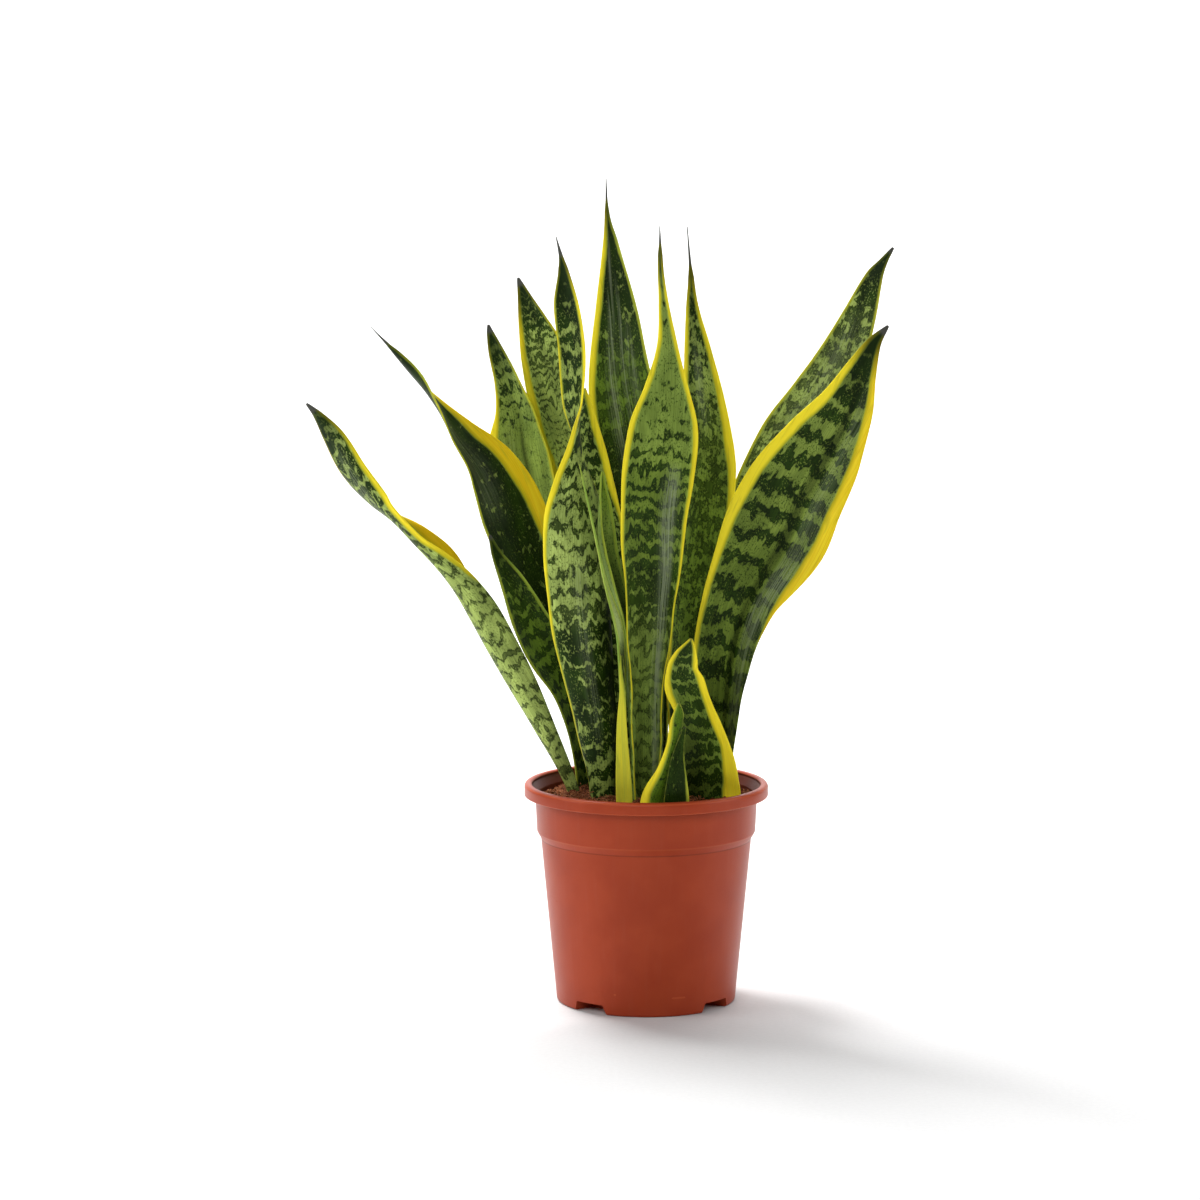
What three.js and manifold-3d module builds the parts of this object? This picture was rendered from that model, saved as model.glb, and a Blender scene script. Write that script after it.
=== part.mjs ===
// A potted snake plant: stiff, sword-shaped leaves with yellow margins, rooted in coir soil in a
// moulded, terracotta-coloured plant pot. Millimetres, +Z up. The origin is the centre of the pot's
// underside, on the surface that it stands on, and the front of the plant faces -Y.
import * as THREE from "three";
import { mergeVertices } from "three/addons/utils/BufferGeometryUtils.js";
import Module from "manifold-3d";

const wasm = await Module();
wasm.setup();

// ---- Pot: radii and heights of the moulding ----
const POT_HEIGHT = 153.6;
const POT_SIDES = 48;
const BASE_RADIUS = 62.4;
const BASE_ROUNDING = 2;
const BODY_TOP_RADIUS = 73.4;
const BODY_TOP_HEIGHT = 115;
const BAND_LOW_RADIUS = 76.2;
const BAND_LOW_HEIGHT = 120;
const BAND_TOP_RADIUS = 77.4;
const RIM_RADIUS = 85;
const RIM_INNER_RADIUS = 79.6;
const RIM_DEPTH = 8.7;
const RIM_ROUNDING = 2.6;
const RIM_INNER_ROUNDING = 1.8;
const RIM_SHOULDER = 8;
const WALL = 1.6;
const FLOOR = 2.4;

// ---- Pot: drain pockets cut into the foot, each with a hole in its roof ----
const POCKET_FIRST_ANGLE = -39.5;
const POCKET_COUNT = 4;
const POCKET_HEIGHT = 7;
const POCKET_HALF_ANGLE_LOW = 13.5;
const POCKET_HALF_ANGLE_HIGH = 10;
const POCKET_INNER_RADIUS = 47;
const POCKET_OUTER_RADIUS = 72;
const POCKET_ARC_STEPS = 3;
const DRAIN_RADIUS = 3.5;
const DRAIN_PLACE_RADIUS = 53;
const DRAIN_SIDES = 10;

// ---- Soil: level at the wall, and how far it is heaped round the leaves ----
const SOIL_LEVEL = 142.5;
const SOIL_MOUND = 5;
const SOIL_RIPPLE = 0.9;
const SOIL_RINGS = 5;
const GAP = 0.3;

// ---- Leaves: the section of a blade, shared by all ----
const BLADE_HALVES = 3;
const BLADE_STEP = 21;
const BLADE_TIP_CROWDING = 1.3;
const MARGIN_THICKNESS = 0.8;
const FOOT_THICKNESS = 5.5;
const WAIST_THICKNESS = 3.6;
const TIP_THICKNESS = 1.4;
const FOOT_SHARE = 0.25;
const SLEEVE_RISE = 12;

// Each row is one place along a leaf, from its foot in the soil to its tip: x, y and z of the
// midrib, the width of the blade laid flat, the turn of its face (0 faces the front, and it grows
// anticlockwise seen from above) and how far each half is curled forward, in degrees.
const LEAVES = [
  {
    name: "leaf_far_left", color: 0x7d9a5c, rows: [
      [-44, 3, 120, 13, 128, 100], [-55.5, 2, 155, 14, 128, 98], [-74, 0, 189, 26, 130, 90],
      [-98, -3, 231, 39, 130, 86], [-119, -5, 268, 44, 124, 92], [-133.5, -6, 291, 43, 104, 104],
      [-146.5, -7, 308, 40, 83, 100], [-159.5, -7, 322, 35, 79, 74], [-173, -8, 336, 31, 98, 46],
      [-187, -8, 349, 30, 128, 37], [-203, -8, 371, 24, 146, 30], [-216, -8, 395, 18, 152, 25],
      [-226, -8, 410, 8, 155, 25], [-234, -9, 419, 1.5, 155, 25],
    ],
  },
  {
    name: "leaf_left_gold", color: 0x31472a, rows: [
      [-38, 46, 120, 24, 20, 105], [-40, 45, 155, 27, 20, 85], [-46, 45, 195, 30, 20, 62],
      [-63, 43, 241, 39, 22, 45], [-94, 41, 332, 53, 27, 35], [-110, 39, 367, 45, 34, 35],
      [-131, 36, 393, 31, 52, 35], [-147, 34, 415, 20, 82, 32], [-161, 33, 434, 17, 118, 30],
      [-178, 34, 454, 6, 130, 30], [-192, 34, 469, 1.5, 130, 30],
    ],
  },
  {
    name: "leaf_left_dark", color: 0x27401f, rows: [
      [-42, 26, 120, 22, 15, 100], [-43, 27, 161, 24, 15, 75], [-50, 27, 206, 30, 15, 52],
      [-75, 23, 250, 31, 15, 40], [-93, 19, 290, 19, 15, 32], [-104, 17, 311, 8, 15, 28],
      [-109, 16, 325, 1.5, 15, 28],
    ],
  },
  {
    name: "leaf_front_left", color: 0x5f7d4d, rows: [
      [-29, -22, 120, 24, 195, 110], [-29, -24, 156, 27, 195, 85], [-32, -28, 190, 33, 195, 66],
      [-38, -33, 232, 41, 195, 52], [-43, -36, 269, 47, 195, 44], [-46, -38, 310, 49, 198, 40],
      [-47, -38, 340, 48, 205, 36], [-46, -38, 363, 44, 225, 35], [-46, -36, 386, 36, 250, 35],
      [-47, -34, 405, 30, 275, 35], [-48, -32, 424, 26, 305, 33], [-50, -31, 461, 23, 325, 30],
      [-54, -32, 489, 20, 330, 25], [-57, -33, 514, 7, 330, 25], [-62, -34, 535, 1.5, 330, 25],
    ],
  },
  {
    name: "leaf_front_centre", color: 0x547044, rows: [
      [0, -20, 120, 42, 0, 140], [-1, -22, 156, 45, 0, 138], [-1, -25, 195, 48, 0, 132],
      [-1, -26, 230, 50, 0, 124], [1, -29, 272, 51, 0, 106], [3, -33, 302, 50, 0, 82],
      [4, -40, 342, 49, 0, 50], [7, -45, 374, 51, 0, 32], [11, -48, 408, 47, 0, 25],
      [13, -51, 434, 30, -5, 25], [13.5, -53, 463, 14, -12, 28], [11, -55, 492, 7, -25, 30],
      [9, -56, 514, 4.5, -40, 30], [8, -58, 543, 1.5, -40, 30],
    ],
  },
  {
    name: "leaf_centre_right", color: 0x35502c, rows: [
      [27, 13, 120, 24, 10, 105], [27, 13, 155, 27, 10, 80], [30, 14, 252, 36, 10, 45],
      [37, 15, 310, 38, 10, 35], [42, 17, 350, 38, 10, 30], [43, 18, 376, 38, 12, 28],
      [39, 20, 419, 30, 12, 25], [35, 21, 454, 19, 12, 25], [31.5, 21, 483, 9, 12, 25],
      [30.5, 21, 506, 3.5, 12, 25], [28, 22, 539, 1.5, 12, 25],
    ],
  },
  {
    name: "leaf_back_left", color: 0x55704a, rows: [
      [-3, 60, 120, 24, -20, 105], [-7, 61, 155, 27, -20, 80], [-30, 67, 266, 38, -20, 40],
      [-48, 75, 361, 44, -22, 28], [-62, 79, 409, 40, -22, 25], [-72, 83, 448, 34, -22, 22],
      [-80, 84, 472, 21, -22, 22], [-86, 84, 489, 9, -22, 22], [-90, 84, 500, 1.5, -22, 22],
    ],
  },
  {
    name: "leaf_tallest", color: 0x2c4526, rows: [
      [8, 38, 120, 26, -15, 105], [7, 39, 155, 30, -15, 80], [1, 46, 262, 44, -15, 42],
      [-4, 54, 360, 53, -18, 27], [-11, 57, 398, 55, -18, 22], [-16.5, 59, 430, 48, -18, 22],
      [-20, 61, 479, 31, -18, 22], [-24.5, 62, 526, 11, -18, 20], [-27, 62, 545, 3.5, -18, 20],
      [-28, 63, 571, 1.5, -18, 20],
    ],
  },
  {
    name: "leaf_right_big", color: 0x577347, rows: [
      [51, 0, 120, 29, -25, 110], [52, 0, 155, 34, -25, 92], [53, -3, 205, 43, -25, 72],
      [57, -8, 247, 49, -24, 58], [67, -13, 284, 57, -22, 46], [88.5, -20, 326, 77, -20, 38],
      [103, -28, 360, 74, -18, 34], [121, -37, 392, 60, -18, 30], [135, -44, 418, 42, -18, 30],
      [145, -51, 445, 23, -18, 28], [153, -56, 464, 10, -18, 25], [162, -60, 476, 1.5, -18, 25],
    ],
  },
  {
    name: "leaf_right_back", color: 0x6a845b, rows: [
      [45, 38, 120, 23, -15, 105], [47, 40, 155, 26, -15, 80], [62, 51, 253, 40, -15, 42],
      [85, 62, 337, 54, -15, 30], [105, 70, 382, 54, -15, 25], [123.5, 75, 413, 46, -15, 22],
      [139, 80, 443, 35, -15, 22], [150.5, 83, 470, 25.5, -15, 20], [161.5, 85, 500, 13, -15, 20],
      [168, 86, 511, 6, -15, 20], [175, 88, 521, 1.5, -15, 20],
    ],
  },
  {
    name: "leaf_back_small", color: 0x5d8039, rows: [
      [-24, 57, 120, 22, -10, 100], [-29, 59, 155, 25, -10, 75], [-65, 70, 277, 36, -10, 50],
      [-88, 81, 375, 47, -15, 44], [-91, 82, 405, 31, -18, 42], [-97, 82, 427, 20, -20, 42],
      [-105, 83, 448, 12, -20, 40], [-109, 83, 460, 6, -20, 40], [-111, 82, 467, 1.5, -20, 40],
    ],
  },
  {
    name: "leaf_hidden_back", color: 0x4c6540, rows: [
      [-14, 24, 120, 24, 170, 100], [-16, 24, 155, 28, 170, 78], [-27, 26, 244, 39, 170, 48],
      [-34, 28, 324, 38, 170, 40], [-38, 30, 371, 26, 170, 36], [-41, 32, 404, 13, 170, 35],
      [-43, 35, 426, 1.5, 170, 35],
    ],
  },
  {
    name: "leaf_front_right_small", color: 0x3f5c2c, rows: [
      [43.5, -19, 120, 42, -5, 72], [44, -21, 150, 52, -5, 58], [41.5, -26, 168, 51, -5, 55],
      [39, -30, 185, 45, -5, 52], [35.6, -35, 201.6, 35, -5, 46], [32.7, -38, 213, 29.5, -5, 44],
      [26.4, -42, 230, 31, -5, 44], [24.6, -44, 240.5, 23.5, -5, 40],
      [26.6, -47, 250, 17.5, -5, 38], [29, -50, 257.5, 8.5, -5, 35], [30, -52, 262, 1.5, -5, 30],
    ],
  },
  {
    name: "leaf_short_front", color: 0x46682c, rows: [
      [3, -63, 120, 16, 180, 40], [3.5, -64, 152, 16.5, 180, 40], [11, -64, 173, 8.5, 180, 35],
      [16.5, -64, 190, 6.8, 180, 35], [19.6, -63, 204.5, 8.6, 180, 35],
      [21.3, -62, 212, 7, 180, 35], [21.3, -61, 219, 1.5, 180, 35],
    ],
  },
  {
    name: "leaf_young", color: 0x6f9145, rows: [
      [-7, 6, 120, 18, 40, 100], [-7, 5, 155, 20, 45, 95], [-13, -10, 235, 23, 60, 80],
      [-16.5, -24, 262, 24, 66, 76], [-19.7, -30.5, 278, 25, 68, 75], [-25.5, -36, 297, 26, 70, 74],
      [-30.3, -37.5, 316, 27, 70, 72], [-32.3, -37.5, 334, 26, 68, 68], [-32, -38, 352, 18, 64, 66],
      [-31.5, -38, 364, 9, 60, 62], [-30.8, -38, 376, 1.5, 60, 60],
    ],
  },
  {
    name: "leaf_front_yellow", color: 0x8f8f2f, rows: [
      [-15.5, -50, 120, 11.5, 10, 35], [-15.7, -50, 146, 11.5, 10, 35],
      [-16.3, -50, 164, 10.8, 10, 32], [-17.1, -51, 185, 8.4, 10, 30],
      [-17.5, -53, 206, 6.2, 10, 30], [-16.8, -55, 227, 3.8, 10, 30],
      [-17.2, -55, 240, 3.3, 10, 30], [-17.7, -56, 252, 1.5, 10, 30],
    ],
  },
  {
    name: "leaf_sliver", color: 0x8aa36a, rows: [
      [-16.5, -37, 120, 5, 60, 40], [-16.5, -37, 155, 5.5, 60, 40], [-17, -41, 215, 6.5, 55, 40],
      [-18.6, -46, 260, 8, 45, 38], [-21, -48, 274, 8, 45, 37], [-25, -50, 287, 6.5, 58, 36],
      [-29.3, -51, 302, 5, 75, 35], [-32.2, -51, 316, 4.2, 85, 35], [-36.3, -51, 336, 3.6, 85, 35],
      [-41, -51, 357, 3, 85, 35], [-46.5, -51, 382, 1.5, 85, 35],
    ],
  },
  {
    name: "leaf_front_tiny", color: 0x2f4a24, rows: [
      [18.5, -60, 120, 10, 0, 40], [20, -65, 151, 18.5, 0, 40], [20.3, -66, 167, 14.5, 0, 40],
      [20.6, -66, 179, 10, 0, 35], [22.5, -65.5, 191, 5.5, 0, 35], [25.7, -65, 203, 1.5, 0, 35],
    ],
  },
];

// ---- Colours ----
const TERRACOTTA = { color: 0xb2523a, roughness: 0.45, metalness: 0 };
const COIR = { color: 0x6b3f28, roughness: 0.95, metalness: 0 };
const LEAF_SKIN = { roughness: 0.4, metalness: 0 };

const radians = (degrees) => degrees * Math.PI / 180;

function material(finish, color = finish.color) {
  return new THREE.MeshStandardMaterial({ ...finish, color });
}

// ---- Solids: to and from the boolean library ----
function toSolid(geometry) {
  const bare = geometry.clone();
  bare.deleteAttribute("normal");
  bare.deleteAttribute("uv");
  const merged = mergeVertices(bare, 1e-4);
  const vertProperties = new Float32Array(merged.attributes.position.array);
  const triVerts = new Uint32Array(merged.index.array);
  return new wasm.Manifold(new wasm.Mesh({ numProp: 3, vertProperties, triVerts }));
}

function toGeometry(solid) {
  const mesh = solid.getMesh();
  const geometry = new THREE.BufferGeometry();
  geometry.setAttribute("position", new THREE.BufferAttribute(mesh.vertProperties, 3));
  geometry.setIndex(new THREE.BufferAttribute(mesh.triVerts, 1));
  geometry.computeVertexNormals();
  return geometry;
}

// A closed skin over rings of points: each ring joins the next, and the end rings are capped by
// strips between their first half (one face) and their second half (the other face).
function skinRings(rings) {
  const count = rings[0].length;
  const half = count / 2;
  const index = [];
  const quad = (a, b, c, d) => index.push(a, b, c, a, c, d);
  for (let k = 0; k + 1 < rings.length; k++) {
    const low = k * count;
    const high = low + count;
    for (let j = 0; j + 1 < half; j++) {
      const backLow = low + count - 1 - j;
      const backHigh = high + count - 1 - j;
      quad(low + j, low + j + 1, high + j + 1, high + j);
      index.push(backLow, backHigh - 1, backLow - 1, backLow, backHigh, backHigh - 1);
    }
    quad(low + half - 1, low + half, high + half, high + half - 1);
    quad(low + count - 1, low, high, high + count - 1);
  }
  const last = (rings.length - 1) * count;
  for (let j = 0; j + 1 < half; j++) {
    quad(j, count - 1 - j, count - 2 - j, j + 1);
    quad(last + j, last + j + 1, last + count - 2 - j, last + count - 1 - j);
  }
  const geometry = new THREE.BufferGeometry();
  const points = rings.flat(2);
  geometry.setAttribute("position", new THREE.Float32BufferAttribute(points, 3));
  geometry.setIndex(index);
  return geometry;
}

// ---- Leaves ----
// A smooth value at a distance along the rows, through every row (cubic Hermite).
function smoothRow(rows, places, distance) {
  let i = 0;
  while (i + 2 < places.length && distance > places[i + 1]) i += 1;
  const span = places[i + 1] - places[i];
  const t = (distance - places[i]) / span;
  const slope = (k, column) => {
    const before = Math.max(k - 1, 0);
    const after = Math.min(k + 1, rows.length - 1);
    return (rows[after][column] - rows[before][column]) / (places[after] - places[before]);
  };
  return rows[i].map((low, column) => {
    const high = rows[i + 1][column];
    const startSlope = slope(i, column) * span;
    const endSlope = slope(i + 1, column) * span;
    const t2 = t * t;
    const t3 = t2 * t;
    return low * (2 * t3 - 3 * t2 + 1) + startSlope * (t3 - 2 * t2 + t)
      + high * (3 * t2 - 2 * t3) + endSlope * (t3 - t2);
  });
}

function distancesAlong(rows) {
  const places = [0];
  for (let i = 1; i < rows.length; i++) {
    const [x, y, z] = [0, 1, 2].map((c) => rows[i][c] - rows[i - 1][c]);
    places.push(places[i - 1] + Math.hypot(x, y, z));
  }
  return places;
}

// Thickness at the midrib: a fleshy foot, an even blade, a thin tip.
function midribThickness(share) {
  if (share < FOOT_SHARE) {
    const t = share / FOOT_SHARE;
    return FOOT_THICKNESS + (WAIST_THICKNESS - FOOT_THICKNESS) * t;
  }
  const t = (share - FOOT_SHARE) / (1 - FOOT_SHARE);
  return WAIST_THICKNESS + (TIP_THICKNESS - WAIST_THICKNESS) * t;
}

// One cross-section of a leaf: an arc of the blade's flat width, thick in the middle and thin at
// the margins, front face first and then the back face in return.
function leafRing(place, along, thickness, clearance) {
  const [x, y, z, flatWidth, turn, curl] = place;
  const facing = new THREE.Vector3(Math.cos(radians(turn)), Math.sin(radians(turn)), 0);
  const across = facing.addScaledVector(along, -facing.dot(along)).normalize();
  const forward = new THREE.Vector3().crossVectors(across, along);
  const radius = flatWidth / 2 / radians(curl);
  const bend = radians(curl) + clearance / radius;
  const front = [];
  const back = [];
  for (let j = -BLADE_HALVES; j <= BLADE_HALVES; j++) {
    const u = j / BLADE_HALVES;
    const arc = u * bend;
    const side = radius * Math.sin(arc);
    const lift = radius * (1 - Math.cos(arc));
    const fat = MARGIN_THICKNESS + (thickness - MARGIN_THICKNESS) * (1 - u * u);
    const offset = fat / 2 + clearance;
    const point = new THREE.Vector3(x, y, z).addScaledVector(across, side);
    point.addScaledVector(forward, lift);
    const normal = forward.clone().multiplyScalar(Math.cos(arc));
    normal.addScaledVector(across, -Math.sin(arc));
    front.push(point.clone().addScaledVector(normal, offset).toArray());
    back.push(point.clone().addScaledVector(normal, -offset).toArray());
  }
  return front.concat(back.reverse());
}

function leafRings(rows, clearance = 0, topHeight = Infinity) {
  const places = distancesAlong(rows);
  const length = places[places.length - 1];
  const steps = Math.ceil(length / BLADE_STEP);
  const nudge = length / steps / 50;
  const rings = [];
  for (let k = 0; k <= steps; k++) {
    const share = 1 - (1 - k / steps) ** BLADE_TIP_CROWDING;
    const place = smoothRow(rows, places, share * length);
    const ahead = smoothRow(rows, places, Math.min(share * length + nudge, length));
    const behind = smoothRow(rows, places, Math.max(share * length - nudge, 0));
    const along = new THREE.Vector3(...ahead).sub(new THREE.Vector3(...behind)).normalize();
    const thickness = Math.min(midribThickness(share), Math.max(place[3] * 0.4, 1.2));
    if (k === 0) place[2] -= clearance;
    rings.push(leafRing(place, along, thickness, clearance));
    if (place[2] > topHeight) break;
  }
  return rings;
}

function leafMesh(leaf) {
  const mesh = new THREE.Mesh(skinRings(leafRings(leaf.rows)), material(LEAF_SKIN, leaf.color));
  mesh.geometry.computeVertexNormals();
  mesh.name = leaf.name;
  return mesh;
}

// ---- Pot ----
function lathe(profile, sides) {
  const geometry = new THREE.LatheGeometry(profile.map(([r, z]) => new THREE.Vector2(r, z)), sides);
  geometry.rotateX(Math.PI / 2);
  return geometry;
}

function roundedCorner(radius, height, rounding, fromAngle, toAngle, steps) {
  const points = [];
  for (let i = 0; i <= steps; i++) {
    const angle = radians(fromAngle + (toAngle - fromAngle) * i / steps);
    points.push([radius + rounding * Math.cos(angle), height + rounding * Math.sin(angle)]);
  }
  return points;
}

function innerRadiusAt(height) {
  const bodySlope = (BODY_TOP_RADIUS - BASE_RADIUS) / BODY_TOP_HEIGHT;
  const bandSlope = (BAND_TOP_RADIUS - BAND_LOW_RADIUS) / (POT_HEIGHT - BAND_LOW_HEIGHT);
  if (height <= BODY_TOP_HEIGHT) return BASE_RADIUS + bodySlope * height - WALL;
  return BAND_LOW_RADIUS + bandSlope * (height - BAND_LOW_HEIGHT) - WALL;
}

// Up the outside, over the rolled rim with its hanging skirt, and down the inside.
function potProfile() {
  const rimTop = POT_HEIGHT - RIM_ROUNDING;
  const innerTop = POT_HEIGHT - RIM_INNER_ROUNDING;
  const rimLow = POT_HEIGHT - RIM_DEPTH;
  const shoulder = POT_HEIGHT - RIM_SHOULDER;
  const underRim = innerTop - WALL / 2;
  const innerBandLow = BAND_LOW_HEIGHT + WALL;
  return [
    [0, 0],
    ...roundedCorner(BASE_RADIUS - BASE_ROUNDING, BASE_ROUNDING, BASE_ROUNDING, -90, -5, 2),
    [BODY_TOP_RADIUS, BODY_TOP_HEIGHT],
    [BAND_LOW_RADIUS, BAND_LOW_HEIGHT],
    [BAND_TOP_RADIUS, shoulder - WALL / 2],
    [RIM_INNER_RADIUS + WALL, underRim],
    [RIM_RADIUS - WALL, underRim],
    [RIM_RADIUS - WALL, rimLow],
    [RIM_RADIUS - WALL / 4, rimLow],
    ...roundedCorner(RIM_RADIUS - RIM_ROUNDING, rimTop, RIM_ROUNDING, 0, 90, 3),
    ...roundedCorner(RIM_INNER_RADIUS + RIM_INNER_ROUNDING, innerTop, RIM_INNER_ROUNDING, 90, 180, 2),
    [innerRadiusAt(shoulder), shoulder],
    [innerRadiusAt(innerBandLow), innerBandLow],
    [innerRadiusAt(BODY_TOP_HEIGHT), BODY_TOP_HEIGHT],
    [innerRadiusAt(FLOOR), FLOOR],
    [0, FLOOR],
  ];
}

// A drain pocket as a closed block, narrower at its roof than at its mouth. Its housing inside the
// pot is the same block, larger by a margin.
function pocketBlock(angle, margin, low, roof, outerRadius) {
  const innerRadius = POCKET_INNER_RADIUS - margin;
  const marginAngle = margin / innerRadius * 180 / Math.PI;
  const arc = (radius, halfAngle, height) => {
    const points = [];
    for (let i = 0; i <= POCKET_ARC_STEPS; i++) {
      const place = radians(angle - 90 + halfAngle * (2 * i / POCKET_ARC_STEPS - 1));
      points.push([radius * Math.cos(place), radius * Math.sin(place), height]);
    }
    return points;
  };
  const ring = (height, halfAngle) => {
    const outer = arc(outerRadius, halfAngle, height);
    return outer.concat(arc(innerRadius, halfAngle, height).reverse());
  };
  const lowRing = ring(low, POCKET_HALF_ANGLE_LOW + marginAngle);
  return toSolid(skinRings([lowRing, ring(roof, POCKET_HALF_ANGLE_HIGH + marginAngle)]));
}

function pocketAngles() {
  return Array.from({ length: POCKET_COUNT }, (_, i) => POCKET_FIRST_ANGLE + i * 360 / POCKET_COUNT);
}

function drainHole(angle) {
  const hole = new THREE.CylinderGeometry(DRAIN_RADIUS, DRAIN_RADIUS, POT_HEIGHT / 2, DRAIN_SIDES);
  hole.rotateX(Math.PI / 2);
  const place = radians(angle - 90);
  hole.translate(DRAIN_PLACE_RADIUS * Math.cos(place), DRAIN_PLACE_RADIUS * Math.sin(place), 0);
  return toSolid(hole);
}

function potMesh() {
  let pot = toSolid(lathe(potProfile(), POT_SIDES));
  const housingOuter = BASE_RADIUS - WALL / 3;
  for (const angle of pocketAngles()) {
    pot = pot.add(pocketBlock(angle, WALL, FLOOR / 2, POCKET_HEIGHT + WALL, housingOuter));
  }
  for (const angle of pocketAngles()) {
    pot = pot.subtract(pocketBlock(angle, 0, -1, POCKET_HEIGHT, POCKET_OUTER_RADIUS));
    pot = pot.subtract(drainHole(angle));
  }
  const mesh = new THREE.Mesh(toGeometry(pot), material(TERRACOTTA));
  mesh.name = "pot";
  return mesh;
}

// ---- Soil ----
function soilHeight(x, y) {
  const edge = innerRadiusAt(SOIL_LEVEL);
  const mound = SOIL_MOUND * (1 - (x * x + y * y) / (edge * edge));
  const ripple = Math.sin(0.23 * x + 1.1) * Math.cos(0.19 * y - 0.4) + Math.sin(0.11 * x - 0.31 * y);
  return SOIL_LEVEL + mound + SOIL_RIPPLE * ripple;
}

// The fill as rings from the middle of its top, out to the wall, down and in along the floor.
function soilBlock() {
  const edge = innerRadiusAt(SOIL_LEVEL) - GAP;
  const rings = [];
  for (let i = 1; i <= SOIL_RINGS; i++) rings.push([edge * i / SOIL_RINGS, null]);
  const innerBandLow = BAND_LOW_HEIGHT + WALL;
  for (const height of [innerBandLow, BODY_TOP_HEIGHT, FLOOR + GAP]) {
    rings.push([innerRadiusAt(height) - GAP, height]);
  }
  const points = [[0, 0, soilHeight(0, 0)]];
  for (const [radius, height] of rings) {
    for (let k = 0; k < POT_SIDES; k++) {
      const angle = 2 * Math.PI * k / POT_SIDES - Math.PI / 2;
      const x = radius * Math.cos(angle);
      const y = radius * Math.sin(angle);
      points.push([x, y, height ?? soilHeight(x, y)]);
    }
  }
  points.push([0, 0, FLOOR + GAP]);
  const index = [];
  const last = points.length - 1;
  for (let k = 0; k < POT_SIDES; k++) {
    const next = (k + 1) % POT_SIDES;
    index.push(0, 1 + k, 1 + next);
    for (let i = 0; i + 1 < rings.length; i++) {
      const inner = 1 + i * POT_SIDES;
      const outer = inner + POT_SIDES;
      index.push(inner + k, outer + k, outer + next, inner + k, outer + next, inner + next);
    }
    const foot = 1 + (rings.length - 1) * POT_SIDES;
    index.push(last, foot + next, foot + k);
  }
  const geometry = new THREE.BufferGeometry();
  geometry.setAttribute("position", new THREE.Float32BufferAttribute(points.flat(), 3));
  geometry.setIndex(index);
  return geometry;
}

function soilMesh() {
  let soil = toSolid(soilBlock());
  const housingMargin = WALL + GAP;
  const housingOuter = BASE_RADIUS + WALL;
  for (const angle of pocketAngles()) {
    const roof = POCKET_HEIGHT + housingMargin;
    soil = soil.subtract(pocketBlock(angle, housingMargin, FLOOR / 2, roof, housingOuter));
  }
  const sleeveTop = SOIL_LEVEL + SOIL_MOUND + SLEEVE_RISE;
  for (const leaf of LEAVES) {
    soil = soil.subtract(toSolid(skinRings(leafRings(leaf.rows, GAP, sleeveTop))));
  }
  const mesh = new THREE.Mesh(toGeometry(soil), material(COIR));
  mesh.name = "soil";
  return mesh;
}

const plant = new THREE.Group();
plant.add(potMesh(), soilMesh(), ...LEAVES.map(leafMesh));

export default plant;
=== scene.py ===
import math

import bmesh
import bpy
import numpy as np
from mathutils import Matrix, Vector, noise


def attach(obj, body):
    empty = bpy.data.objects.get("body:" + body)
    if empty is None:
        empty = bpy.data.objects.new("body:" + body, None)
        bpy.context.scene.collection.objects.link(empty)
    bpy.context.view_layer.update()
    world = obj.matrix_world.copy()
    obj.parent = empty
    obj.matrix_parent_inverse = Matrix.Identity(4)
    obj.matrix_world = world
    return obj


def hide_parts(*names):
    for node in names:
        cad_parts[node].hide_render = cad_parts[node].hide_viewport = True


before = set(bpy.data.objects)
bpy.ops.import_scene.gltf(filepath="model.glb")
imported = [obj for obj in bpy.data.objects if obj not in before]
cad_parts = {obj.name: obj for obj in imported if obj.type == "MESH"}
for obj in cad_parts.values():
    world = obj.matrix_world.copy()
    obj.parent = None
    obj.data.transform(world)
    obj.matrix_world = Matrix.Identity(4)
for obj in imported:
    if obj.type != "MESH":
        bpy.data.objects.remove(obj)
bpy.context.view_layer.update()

# ---- Pot ----
# The real pot is injection-moulded in one piece from terracotta-coloured plastic: a tapered body, a
# band stepped out of it, a rolled rim with a hanging skirt, and four drain pockets moulded into the
# foot, each with a hole in its roof. Sizes are in millimetres.
MM = 0.001
POT_HEIGHT = 153.6
POT_TURNS = 192
WALL = 1.6
FLOOR = 2.4
BASE_RADIUS = 62.4
BODY_TOP = (73.4, 115.0)
BAND_FOOT = (76.2, 120.0)
BAND_TOP = (77.4, 144.8)
RIM_RADIUS = 85.0
RIM_INNER_RADIUS = 79.6
RIM_SKIRT_LOW = 144.9
RIM_UNDERSIDE = 151.0
RIM_INNER_FACE = 2.6
INNER_LIP = 145.6
INNER_STEP_HIGH = 121.6
INNER_STEP_LOW = 115.0
SHARP_EDGE_ANGLE = 32
POCKET_ANGLES = [-39.5 + 90 * i for i in range(4)]
POCKET_HEIGHT = 7.0
POCKET_HALF_ANGLE_LOW = 13.5
POCKET_HALF_ANGLE_HIGH = 10.5
POCKET_INNER_RADIUS = 47.0
POCKET_CORNER = 1.3
HOUSING_FOOT = 1.2
DRAIN_HOLE_RADIUS = 3.5
DRAIN_HOLE_PLACE = 53.0


def inner_radius(height):
    """Radius of the pot's inside at a height."""
    if height <= BODY_TOP[1]:
        return BASE_RADIUS - WALL + (BODY_TOP[0] - BASE_RADIUS) * height / BODY_TOP[1]
    rise = (height - BAND_FOOT[1]) / (POT_HEIGHT - BAND_FOOT[1])
    return BAND_FOOT[0] - WALL + (BAND_TOP[0] - BAND_FOOT[0]) * rise


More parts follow.
